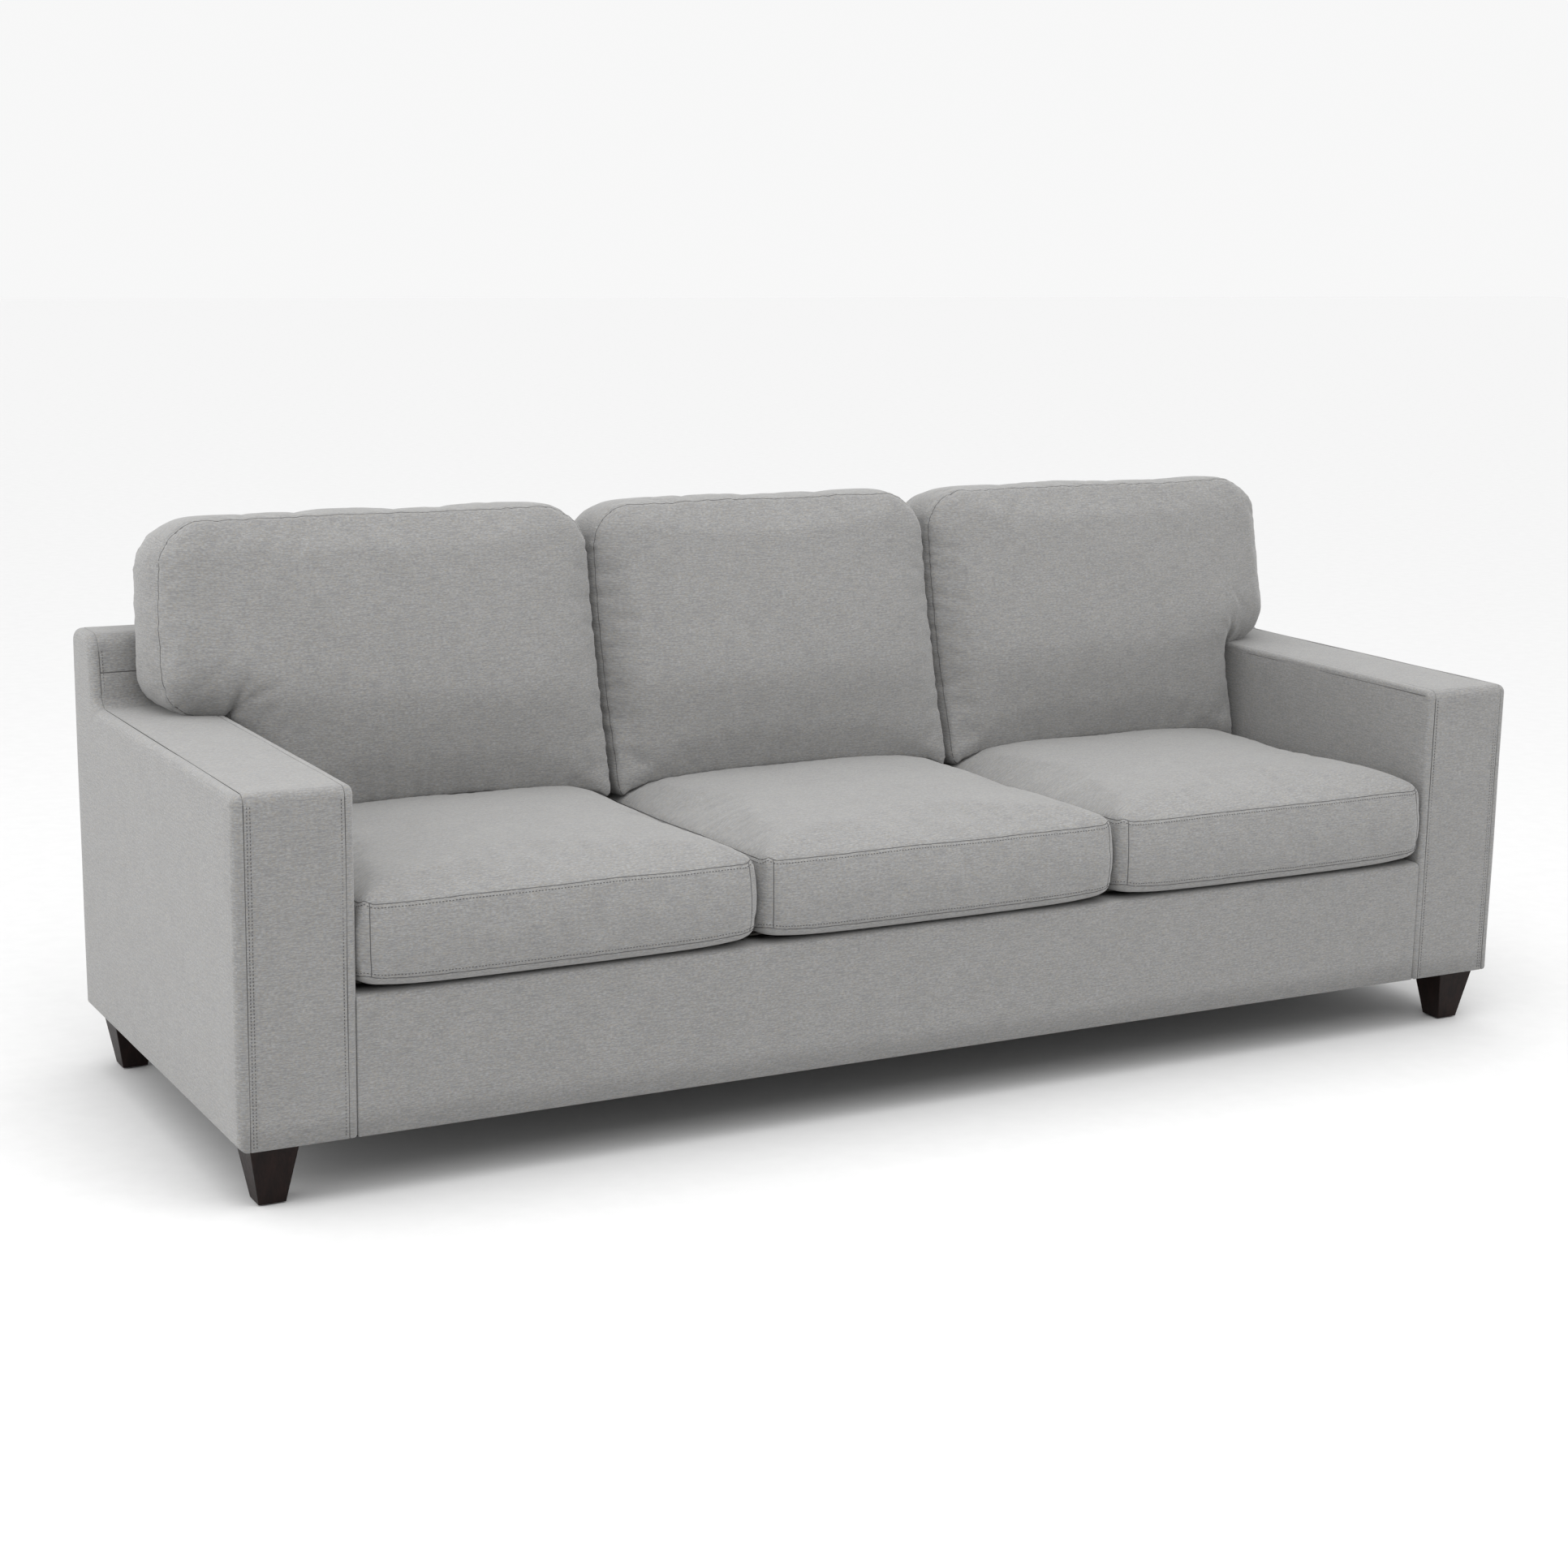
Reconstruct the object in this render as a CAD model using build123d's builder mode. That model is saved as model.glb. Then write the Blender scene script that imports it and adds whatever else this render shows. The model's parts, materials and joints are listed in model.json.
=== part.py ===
from build123d import *
import os
from math import cos, radians, sin, tan

# Three-seat sofa with loose seat and back cushions on four tapered wooden legs.
# Millimetres. X runs along the sofa, Y from front to rear, Z up.
# The origin is on the floor, under the centre of the whole sofa.

os.makedirs("parts", exist_ok=True)

# ---- overall sizes -------------------------------------------------------------------
WIDTH = 2235.0
FRONT_Y = -402.0  # front plane of the arms and the front rail
NOSE_Y = -410.0  # noses of the seat cushions
REAR_LOW_Y = 397.0  # outside back at the bottom edge
REAR_LEAN = 0.021  # the outside back leans this far back per unit of height
ARM_WIDTH = 171.0
ARM_TOP_Z = 592.0
BACK_TOP_Z = 704.0
LEG_HEIGHT = 92.0
RAKE = radians(8.0)  # lean of the inside back
INSIDE_Y = 300.0  # depth of the inside back at the height INSIDE_Z
INSIDE_Z = 627.0
DECK_PITCH = radians(1.5)  # the seat deck falls towards the rear

ARM_OUT = WIDTH / 2
ARM_IN = ARM_OUT - ARM_WIDTH
BOTTOM_Z = LEG_HEIGHT

# ---- upholstery ----------------------------------------------------------------------
COVER = 3.0  # fabric with its thin backing
WADDING = 4.0  # soft layer between the fabric and the timber
ARM_FOAM = 12.0
SIDE_WRAP = 16.0  # the outside arm panel turns this far round each edge
EDGE_R = 13.0  # roundness of the edges of the sides
ARM_FRONT_R = 14.0  # roll from the arm top to the arm front
INNER_CORNER_R = 22.0  # concave corner between the arm top and the back
BACK_FRONT_R = 25.0
BACK_REAR_R = 22.0
BACK_SEAM_Z = 645.0  # seam across the inside back
BACK_FOAM = 25.0
BACK_PAD_TOP = 672.0
DECK_FOAM = 12.0
DECK_CLOTH = 2.0
DECK_FRONT_Z = 298.0
DECK_FRONT_Y = FRONT_Y + 62.0
DECK_REAR_Z = 285.0  # where the deck meets the inside back
OVER_DECK = 3.0  # the inside back starts this far above the deck
RAIL_COVER_TOP = 296.0
RAIL_COVER_TURN = 60.0  # the front rail's cover turns this far onto the deck
RAIL_COVER_R = 10.0
EDGE_ROLL_REAR = FRONT_Y + 56.0
EDGE_ROLL_LOW = 284.0
LEG_CUT = 3.0  # room round a leg in the dust cover
DUST_CLOTH = 1.2
FIT = 0.1  # pieces of one body stop this short of each other

# ---- frame timber --------------------------------------------------------------------
RAIL = 25.0
PLY = 18.0
PLATE = 3.0
FRAME_Z = BOTTOM_Z + PLATE
WOOD_OUT = ARM_OUT - COVER - WADDING
WOOD_IN = ARM_IN + COVER + ARM_FOAM
WOOD_FRONT = FRONT_Y + COVER + WADDING
ARM_WOOD_TOP = ARM_TOP_Z - COVER - ARM_FOAM
FRONT_RAIL_TOP = 276.0
SPRING_RAIL_TOP = 259.0
SPRING_RAIL_FRONT = 246.0
SIDE_RAIL_TOP = 185.0
REAR_RAIL_TOP = 215.0
POST_WIDTH = 40.0
POST_FRONT = 295.0
POST_FOOT_Y = POST_FRONT - 5.0
PAD_REAR_Y = POST_FRONT - 6.0
POST_TOP_BACK = 13.0  # the top of a post starts this far behind the inside back
TOP_RAIL_HEIGHT = 50.0
TOP_RAIL_DEPTH = (341.5, 396.0)
UPRIGHT_DEPTH = (341.5, 387.0)
TACK_RAIL_DEPTH = (292.5, 317.5)
TACK_RAIL_HEIGHT = (300.0, 345.0)
STRETCHER_HEIGHT = 70.0
DECK_RAIL_HEIGHT = (216.0, 256.0)
TOP_BOARD_REAR = POST_FRONT + 18.0
BLOCK_FRONT_REACH = 46.7  # from the leg's centre line inwards
BLOCK_REAR_REACH = 76.7
BLOCK_DEPTH = 82.0
BLOCK_HEIGHT = 45.0
WOOD_BACK_TOP = BACK_TOP_Z - COVER - 8.0
STRETCHER_X = 319.0

# ---- legs ----------------------------------------------------------------------------
LEG_TOP = 72.6
LEG_FOOT = 39.2
LEG_EDGE_R = 1.5
GLIDE = 2.5
GLIDE_R = 11.0
LEG_X = ARM_OUT - 55.8
LEG_FRONT = FRONT_Y + 52.9
LEG_REAR = REAR_LOW_Y - 59.4
BOLT_R = 4.0
BOLT_HALF = 35.0  # the hanger bolt goes this far into the leg and into the frame
PLATE_SIZE = 70.0
PLATE_CORNER_R = 4.0
SCREW_SPREAD = 48.0
SCREW_R = 2.0
SCREW_HEAD_R = 3.6
SCREW_REACH = 16.0

# ---- cushions ------------------------------------------------------------------------
SEAT_SPLIT_X = 319.0  # joint between two neighbouring cushions
GAP = 2.0  # each cushion stops this short of its neighbour
SEAT_REAR_Y = 248.0
SEAT_EDGE = 127.0  # height of the boxing at the nose
SEAT_SIDE = 132.0
SEAT_CROWN = 160.0
SEAT_CORNER_R = 26.0
BACK_BOXING = 127.0
BACK_CROWN = 66.0
BACK_CUSHION_TOP_Z = 872.0  # rear top edge of the back cushions
EAR_X = 1060.0  # the outer back cushions reach out over the arms to here
EAR_R = 68.0
EAR_LOW_R = 47.6
CUSHION_COVER = 2.0
CORE_GAP = 0.4
REST = 1.0  # a cushion lies this far off what carries it

# The crowned faces are made of flat steps. Each pair is the distance in from the edge
# and how far the step stays under the full crown.
SEAT_NOSE_STEPS = ((90.0, 12.0), (300.0, 0.0))
SEAT_SIDE_STEPS = ((60.0, 11.0), (170.0, 0.0))
SEAT_TAIL = 0.76  # share of the depth where the seat starts to fall to the rear
SEAT_TAIL_DROP = 1.5
SEAT_END_DROP = 12.0
BACK_SIDE_STEPS = ((90.0, 0.6), (230.0, 1.0))  # distance in, and share of the crown
BACK_RISE_STEPS = ((0.0, 34.0), (0.2, 60.0), (0.5, 66.0), (0.8, 36.0), (1.0, 0.0))
BACK_FOOT_Z = 400.0


def inside_y(z):
    """Front surface of the inside back at a height."""
    return INSIDE_Y + (z - INSIDE_Z) * tan(RAKE)


def rear_y(z):
    """Rear surface of the outside back at a height."""
    return REAR_LOW_Y + (z - BOTTOM_Z) * REAR_LEAN


def deck_z(y):
    """Top surface of the seat deck at a depth."""
    return DECK_FRONT_Z - (y - FRONT_Y) * tan(DECK_PITCH)


def span(side, near, far):
    """The X limits of a piece on one side, lowest first."""
    return sorted((side * near, side * far))


def save(piece, label):
    piece.part.label = label
    export_step(piece.part, f"parts/{label}.step")


def board(label, boxes):
    """One node of square-edged pieces, each given by its limits along X, Y and Z."""
    with BuildPart() as piece:
        for (x0, x1), (y0, y1), (z0, z1) in boxes:
            with BuildSketch(Plane.XY.offset(z0)):
                with Locations(((x0 + x1) / 2, (y0 + y1) / 2)):
                    Rectangle(x1 - x0, y1 - y0)
            extrude(amount=z1 - z0)
    save(piece, label)


def prism(label, outline, x0, x1):
    """A piece with one section in the Y-Z plane, running along X."""
    with BuildPart() as piece:
        with BuildSketch(Plane.YZ.offset(x0)):
            Polygon(*outline, align=None)
        extrude(amount=x1 - x0)
    save(piece, label)


SIDES = {"left": -1, "right": 1}

# ======================================================================================
# Timber frame
# ======================================================================================


def front_and_rear_rails():
    inner = (-WOOD_IN, WOOD_IN)
    between_posts = (POST_WIDTH - WOOD_OUT, WOOD_OUT - POST_WIDTH)
    rear = REAR_LOW_Y - COVER - WADDING
    board("front_rail", [(inner, (WOOD_FRONT, WOOD_FRONT + RAIL), (FRAME_Z, FRONT_RAIL_TOP))])
    board("rear_rail", [(between_posts, (rear - RAIL, rear), (FRAME_Z, REAR_RAIL_TOP))])
    spring_rail = ((-WOOD_OUT, WOOD_OUT), (SPRING_RAIL_FRONT, POST_FRONT - 1))
    board("spring_rail", [(*spring_rail, (SIDE_RAIL_TOP, SPRING_RAIL_TOP))])


def stretchers():
    depth = (WOOD_FRONT + RAIL, REAR_LOW_Y - COVER - WADDING - RAIL)
    height = (FRAME_Z, FRAME_Z + STRETCHER_HEIGHT)
    half = RAIL / 2
    runs = [(s * STRETCHER_X - half, s * STRETCHER_X + half) for s in (-1, 1)]
    board("seat_stretchers", [(run, depth, height) for run in runs])


def side_timber(name, side):
    outer_rail = span(side, WOOD_OUT - RAIL, WOOD_OUT)
    inner_rail = span(side, WOOD_IN, WOOD_IN + RAIL)
    across = span(side, WOOD_IN, WOOD_OUT)
    behind_board = WOOD_FRONT + PLY
    side_rail = (outer_rail, (behind_board, POST_FOOT_Y), (FRAME_Z, SIDE_RAIL_TOP))
    board(f"side_rail_{name}", [side_rail])
    deck_rail = (inner_rail, (behind_board, SPRING_RAIL_FRONT), DECK_RAIL_HEIGHT)
    board(f"deck_side_rail_{name}", [deck_rail])
    board(f"arm_front_board_{name}", [(across, (WOOD_FRONT, behind_board), (FRAME_Z, ARM_WOOD_TOP))])
    top_board = (across, (behind_board, TOP_BOARD_REAR), (ARM_WOOD_TOP - PLY, ARM_WOOD_TOP))
    board(f"arm_top_board_{name}", [top_board])


def back_post(name, side):
    rear = COVER + WADDING
    outline = [
        (POST_FOOT_Y, FRAME_Z),
        (rear_y(FRAME_Z) - rear, FRAME_Z),
        (rear_y(WOOD_BACK_TOP) - rear, WOOD_BACK_TOP),
        (inside_y(WOOD_BACK_TOP) + POST_TOP_BACK, WOOD_BACK_TOP),
    ]
    prism(f"back_post_{name}", outline, *span(side, WOOD_OUT - POST_WIDTH, WOOD_OUT))


def back_rails():
    across = (POST_WIDTH - WOOD_OUT, WOOD_OUT - POST_WIDTH)
    top_z = WOOD_BACK_TOP - TOP_RAIL_HEIGHT
    board("back_top_rail", [(across, TOP_RAIL_DEPTH, (top_z, WOOD_BACK_TOP))])
    board("back_tack_rail", [(across, TACK_RAIL_DEPTH, TACK_RAIL_HEIGHT)])
    half = POST_WIDTH / 2
    runs = [(s * STRETCHER_X - half, s * STRETCHER_X + half) for s in (-1, 1)]
    board("back_uprights", [(run, UPRIGHT_DEPTH, (REAR_RAIL_TOP, top_z)) for run in runs])


def corner_blocks():
    blocks = []
    for side in SIDES.values():
        front = span(side, LEG_X - BLOCK_FRONT_REACH, WOOD_OUT - RAIL)
        rear = span(side, LEG_X - BLOCK_REAR_REACH, WOOD_OUT - POST_WIDTH)
        height = (FRAME_Z, FRAME_Z + BLOCK_HEIGHT)
        behind_board = WOOD_FRONT + PLY
        blocks.append((front, (behind_board, behind_board + BLOCK_DEPTH), height))
        blocks.append((rear, (POST_FOOT_Y, REAR_LOW_Y - COVER - WADDING - RAIL), height))
    board("corner_blocks", blocks)


# ======================================================================================
# Legs and their fixings
# ======================================================================================

LEG_SPOTS = {
    "leg_front_left": (-LEG_X, LEG_FRONT),
    "leg_front_right": (LEG_X, LEG_FRONT),
    "leg_rear_left": (-LEG_X, LEG_REAR),
    "leg_rear_right": (LEG_X, LEG_REAR),
}


def leg(label, spot):
    """A square block that tapers to the foot."""
    foot = LEG_FOOT + (LEG_TOP - LEG_FOOT) * GLIDE / LEG_HEIGHT
    with BuildPart() as piece:
        for height, width in ((GLIDE, foot), (LEG_HEIGHT, LEG_TOP)):
            with BuildSketch(Plane.XY.offset(height)):
                with Locations(spot):
                    Rectangle(width, width)
        loft()
        upright = piece.edges().filter_by(lambda e: abs(e.tangent_at(0).Z) > 0.9)
        fillet(upright, LEG_EDGE_R)
    save(piece, label)


def glides():
    with BuildPart() as piece:
        with BuildSketch():
            with Locations(*LEG_SPOTS.values()):
                Circle(GLIDE_R)
        extrude(amount=GLIDE)
    save(piece, "leg_glides")


def leg_plates():
    """Steel plates under the frame, each with a hole for the bolt and four for screws."""
    with BuildPart() as piece:
        with BuildSketch(Plane.XY.offset(BOTTOM_Z)):
            with Locations(*LEG_SPOTS.values()):
                RectangleRounded(PLATE_SIZE, PLATE_SIZE, PLATE_CORNER_R)
                Circle(BOLT_R + FIT, mode=Mode.SUBTRACT)
                with GridLocations(SCREW_SPREAD, SCREW_SPREAD, 2, 2):
                    Circle(SCREW_R + FIT, mode=Mode.SUBTRACT)
        extrude(amount=PLATE)
        with BuildSketch(Plane.XY.offset(BOTTOM_Z)):
            with Locations(*LEG_SPOTS.values()):
                with GridLocations(SCREW_SPREAD, SCREW_SPREAD, 2, 2):
                    Circle(SCREW_HEAD_R + FIT)
        extrude(amount=PLATE / 2, mode=Mode.SUBTRACT)
    save(piece, "leg_plates")


def plate_screws():
    with BuildPart() as piece:
        for radius, low, high in (
            (SCREW_HEAD_R, BOTTOM_Z + FIT, BOTTOM_Z + PLATE / 2 - FIT),
            (SCREW_R, BOTTOM_Z + FIT, FRAME_Z + SCREW_REACH),
        ):
            with BuildSketch(Plane.XY.offset(low)):
                with Locations(*LEG_SPOTS.values()):
                    with GridLocations(SCREW_SPREAD, SCREW_SPREAD, 2, 2):
                        Circle(radius)
            extrude(amount=high - low)
    save(piece, "plate_screws")


def hanger_bolts():
    with BuildPart() as piece:
        with BuildSketch(Plane.XY.offset(BOTTOM_Z - BOLT_HALF)):
            with Locations(*LEG_SPOTS.values()):
                Circle(BOLT_R)
        extrude(amount=2 * BOLT_HALF)
    save(piece, "hanger_bolts")


# ======================================================================================
# Springs, webbing and padding
# ======================================================================================

WIRE_R = 1.9
SPRING_FRONT = WOOD_FRONT + 12.0
SPRING_REAR = SPRING_RAIL_FRONT + 16.0
SPRING_DEPTH = 18.5  # the springs lie this far under the deck surface
SPRING_HALF = 24.0
SPRING_RUNS = 18
SEAT_CENTRES = (-633.0, 0.0, 633.0)
SPRING_OFFSETS = (-225.0, -75.0, 75.0, 225.0)
CLIP_WIDTH = 20.0
CLIP_WALL = 1.0
CLIP_HEIGHT = 6.5
CLIP_FOOT = 6.0
CLIP_REACH = 7.0
CLIP_TONGUE = 5.0
TIE_PLACES = (-170.0, 60.0)
TIE_HALF = 900.0
TIE_DEPTH = 15.3
TIE_R = 1.1
STRAP_OFFSETS = (-180.0, 0.0, 180.0)
STRAP_WIDTH = 50.0
STRAP_THICK = 1.5
STRAP_LOW = 300.0
STRAP_SHORT = 3.0  # a strap stops this far under the top of the frame
BEHIND_PAD = 31.0  # depth of the straps behind the inside back


def deck_plane(x, y, depth):
    """A plane in the pitch of the deck, whose second axis runs down towards the rear."""
    upward = (0, sin(DECK_PITCH), cos(DECK_PITCH))
    return Plane(origin=(x, y, deck_z(y) - depth), x_dir=(1, 0, 0), z_dir=upward)


def seat_springs():
    """Sinuous wire springs from the front rail to the spring rail."""
    pitch = (SPRING_REAR - SPRING_FRONT) / cos(DECK_PITCH) / SPRING_RUNS
    points = []
    for run in range(SPRING_RUNS + 1):
        way = 1 if run % 2 else -1
        points += [(way * SPRING_HALF, run * pitch), (-way * SPRING_HALF, run * pitch)]
    with BuildPart() as piece:
        plane = deck_plane(SEAT_CENTRES[0] + SPRING_OFFSETS[0], SPRING_FRONT, SPRING_DEPTH)
        with BuildLine(plane) as path:
            FilletPolyline(*points, radius=0.45 * pitch)
        with BuildSketch(Plane(origin=path.line @ 0, z_dir=path.line % 0)):
            Circle(WIRE_R)
        sweep(path=path.line)
    one = piece.part
    first = SEAT_CENTRES[0] + SPRING_OFFSETS[0]
    with BuildPart() as springs:
        for centre in SEAT_CENTRES:
            for offset_x in SPRING_OFFSETS:
                add(Pos(centre + offset_x - first, 0, 0) * one)
    save(springs, "seat_springs")


def spring_clips():
    """Bent steel clips that hold the spring ends on the two rails."""
    with BuildPart() as piece:
        for y, base, way in ((SPRING_FRONT, FRONT_RAIL_TOP, -1), (SPRING_REAR, SPRING_RAIL_TOP, 1)):
            top = base + CLIP_HEIGHT
            outline = [
                (y - way * CLIP_FOOT, base),
                (y + way * CLIP_REACH, base),
                (y + way * CLIP_REACH, top),
                (y - way * CLIP_TONGUE, top),
                (y - way * CLIP_TONGUE, top - CLIP_WALL),
                (y + way * (CLIP_REACH - CLIP_WALL), top - CLIP_WALL),
                (y + way * (CLIP_REACH - CLIP_WALL), base + CLIP_WALL),
                (y - way * CLIP_FOOT, base + CLIP_WALL),
            ]
            for centre in SEAT_CENTRES:
                for offset_x in SPRING_OFFSETS:
                    with BuildSketch(Plane.YZ.offset(centre + offset_x)):
                        Polygon(*outline, align=None)
                    extrude(amount=CLIP_WIDTH / 2, both=True)
    save(piece, "spring_clips")


def spring_ties():
    """Two wires across the springs that keep them from spreading."""
    with BuildPart() as piece:
        for y in TIE_PLACES:
            with BuildSketch(Plane.YZ.offset(-TIE_HALF)):
                with Locations((y, deck_z(y) - TIE_DEPTH)):
                    Circle(TIE_R)
            extrude(amount=2 * TIE_HALF)
    save(piece, "spring_ties")


def rake_plane(z, behind):
    """A plane in the lean of the inside back, whose second axis runs up it."""
    forward = (0, -cos(RAKE), sin(RAKE))
    return Plane(origin=(0, inside_y(z) + behind / cos(RAKE), z), x_dir=(1, 0, 0), z_dir=forward)


def back_webbing():
    """Elastic straps from the tack rail to the top rail."""
    length = (WOOD_BACK_TOP - STRAP_LOW - STRAP_SHORT) / cos(RAKE)
    with BuildPart() as piece:
        with BuildSketch(rake_plane(STRAP_LOW, BEHIND_PAD)):
            for centre in SEAT_CENTRES:
                with Locations(*[(centre + shift, length / 2) for shift in STRAP_OFFSETS]):
                    Rectangle(STRAP_WIDTH, length)
        extrude(amount=STRAP_THICK)
    save(piece, "back_webbing")


def back_pad():
    """Foam of the inside back, wider above the arms than between them."""
    low = deck_z(inside_y(DECK_REAR_Z)) + OVER_DECK
    step = (ARM_TOP_Z + 2 * OVER_DECK / 3 - low) / cos(RAKE)
    top = (BACK_PAD_TOP - low) / cos(RAKE)
    half_low, half_high = ARM_IN - FIT, WOOD_OUT - POST_WIDTH - 10 * FIT
    right = [(half_low, 0), (half_low, step), (half_high, step), (half_high, top)]
    left = [(-x, y) for x, y in reversed(right)]
    with BuildPart() as piece:
        with BuildSketch(rake_plane(low, COVER + BACK_FOAM)):
            Polygon(*right, *left, align=None)
        extrude(amount=BACK_FOAM - FIT)
    save(piece, "back_pad")


def deck_layer(label, depth, thickness):
    """A flat layer between the arms in the pitch of the deck, its underside at a depth."""
    length = (inside_y(DECK_REAR_Z) - DECK_CLOTH - DECK_FRONT_Y) / cos(DECK_PITCH)
    with BuildPart() as piece:
        with BuildSketch(deck_plane(0, DECK_FRONT_Y, depth)):
            with Locations((0, length / 2)):
                Rectangle(2 * (ARM_IN - FIT), length)
        extrude(amount=thickness)
    save(piece, label)


def edge_roll():
    across = (FIT - ARM_IN, ARM_IN - FIT)
    depth = (FRONT_Y + COVER + FIT, EDGE_ROLL_REAR)
    board("front_edge_roll", [(across, depth, (EDGE_ROLL_LOW, RAIL_COVER_TOP - COVER - FIT))])


def arm_pad(name, side):
    """Foam over the inner face and the top of one arm."""
    inner, outer = ARM_IN + COVER, ARM_OUT - SIDE_WRAP + 2.0
    top = ARM_TOP_Z - COVER - FIT
    outline = [
        (inner, DECK_REAR_Z),
        (WOOD_IN, DECK_REAR_Z),
        (WOOD_IN, ARM_WOOD_TOP),
        (outer, ARM_WOOD_TOP),
        (outer, top),
        (inner, top),
    ]
    outline = [(side * x, z) for x, z in outline]
    with BuildPart() as piece:
        with BuildSketch(Plane.XZ.offset(-PAD_REAR_Y)):
            Polygon(*outline, align=None)
        extrude(amount=PAD_REAR_Y - FRONT_Y - COVER - ARM_FRONT_R)
    save(piece, f"arm_pad_{name}")


# ======================================================================================
# Fixed covers
# ======================================================================================


def side_outline(inset):
    """Outline of one end of the sofa, depth along X and height along Y: the arm, then the back."""
    top = BACK_TOP_Z - inset
    arm = ARM_TOP_Z - inset
    low = BOTTOM_Z + inset
    with BuildSketch(Plane.XY, mode=Mode.PRIVATE) as sketch:
        Polygon(
            (FRONT_Y + inset, low),
            (FRONT_Y + inset, arm),
            (inside_y(arm) + inset, arm),
            (inside_y(top) + inset, top),
            (rear_y(top) - inset, top),
            (rear_y(low) - inset, low),
            align=None,
        )
        arm_corners = sketch.vertices().group_by(Axis.Y)[-2].sort_by(Axis.X)
        back_corners = sketch.vertices().group_by(Axis.Y)[-1].sort_by(Axis.X)
        fillet(arm_corners[0], ARM_FRONT_R - inset)
        fillet(arm_corners[1], INNER_CORNER_R + inset)
        fillet(back_corners[0], BACK_FRONT_R - inset)
        fillet(back_corners[1], BACK_REAR_R - inset)
    return sketch.sketch


def side_block(side, inset, depth):
    """The end of the sofa as a solid with rounded outer edges."""
    outer = side * (ARM_OUT - inset)
    with BuildPart(mode=Mode.PRIVATE) as block:
        with BuildSketch(Plane.YZ.offset(outer)):
            add(side_outline(inset))
        extrude(amount=-side * depth)
        rim = block.faces().filter_by(Axis.X).sort_by(Axis.X)[-1 if side > 0 else 0].edges()
        fillet(rim.filter_by(lambda e: e.center().Z > BOTTOM_Z + 2 * COVER), EDGE_R - inset)
    return block.part


def outside_arm(name, side):
    """The panel over the outside of one arm and the end of the back, turned round its edges."""
    with BuildPart() as piece:
        add(side_block(side, 0.0, SIDE_WRAP))
        add(side_block(side, COVER, SIDE_WRAP), mode=Mode.SUBTRACT)
    save(piece, f"outside_arm_{name}")


def arm_band_outline(inset):
    """The arm's front and top and the foot of the back, as a block with two rounded corners."""
    arm = ARM_TOP_Z - inset
    low = BOTTOM_Z - inset
    rear = POST_FRONT + 3 * COVER
    with BuildSketch(Plane.XY, mode=Mode.PRIVATE) as sketch:
        Polygon(
            (FRONT_Y + inset, low),
            (FRONT_Y + inset, arm),
            (inside_y(arm) + inset, arm),
            (inside_y(BACK_SEAM_Z) + inset, BACK_SEAM_Z),
            (rear + inset, BACK_SEAM_Z),
            (rear + inset, low),
            align=None,
        )
        corners = sketch.vertices().group_by(Axis.Y)[-2].sort_by(Axis.X)
        fillet(corners[0], ARM_FRONT_R - inset)
        fillet(corners[1], INNER_CORNER_R + inset)
    return sketch.sketch


def arm_band(name, side):
    """One strip down the front of the arm and along its top."""
    with BuildPart() as piece:
        with BuildSketch(Plane.YZ.offset(side * (ARM_IN + FIT / 2))):
            add(arm_band_outline(0.0))
            add(arm_band_outline(COVER), mode=Mode.SUBTRACT)
        extrude(amount=side * (ARM_WIDTH - SIDE_WRAP - FIT))
    save(piece, f"arm_band_{name}")


def inside_arm(name, side):
    x_limits = span(side, ARM_IN, ARM_IN + COVER - FIT)
    height = (deck_z(POST_FRONT) + DECK_CLOTH, ARM_TOP_Z - COVER - FIT)
    board(f"inside_arm_{name}", [(x_limits, (FRONT_Y + ARM_FRONT_R, PAD_REAR_Y), height)])


def front_rail_cover():
    top = RAIL_COVER_TOP
    outline = [
        (FRONT_Y, BOTTOM_Z),
        (FRONT_Y, top),
        (FRONT_Y + RAIL_COVER_TURN, top),
        (FRONT_Y + RAIL_COVER_TURN, top - COVER),
        (FRONT_Y + COVER, top - COVER),
        (FRONT_Y + COVER, BOTTOM_Z),
    ]
    with BuildPart() as piece:
        with BuildSketch(Plane.YZ.offset(FIT - ARM_IN)) as section:
            Polygon(*outline, align=None)
            fillet(section.vertices().group_by(Axis.Y)[-1].sort_by(Axis.X)[0], RAIL_COVER_R)
        extrude(amount=2 * (ARM_IN - FIT))
    save(piece, "front_rail_cover")


def inside_back_cover():
    low = deck_z(inside_y(DECK_REAR_Z)) + OVER_DECK
    length = (BACK_SEAM_Z - low) / cos(RAKE)
    with BuildPart() as piece:
        with BuildSketch(rake_plane(low, COVER)):
            with Locations((0, length / 2)):
                Rectangle(2 * (ARM_IN - FIT), length)
        extrude(amount=COVER)
    save(piece, "inside_back_cover")


def back_top_band():
    """The strip over the top of the back, from the inside seam to the rear seam."""
    with BuildPart() as piece:
        with BuildSketch(Plane.YZ.offset(SIDE_WRAP + FIT - ARM_OUT)):
            add(side_outline(0.0))
            add(side_outline(COVER), mode=Mode.SUBTRACT)
            with Locations((0, BACK_SEAM_Z + 10 * FIT)):
                above = (Align.CENTER, Align.MIN)
                Rectangle(WIDTH, BACK_TOP_Z, align=above, mode=Mode.INTERSECT)
        extrude(amount=2 * (ARM_OUT - SIDE_WRAP - FIT))
    save(piece, "back_top_band")


def outside_back_cover():
    top = BACK_SEAM_Z
    outline = [
        (rear_y(BOTTOM_Z), BOTTOM_Z),
        (rear_y(top), top),
        (rear_y(top) - COVER, top),
        (rear_y(BOTTOM_Z) - COVER, BOTTOM_Z),
    ]
    half = ARM_OUT - SIDE_WRAP - FIT
    prism("outside_back_cover", outline, -half, half)


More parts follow.
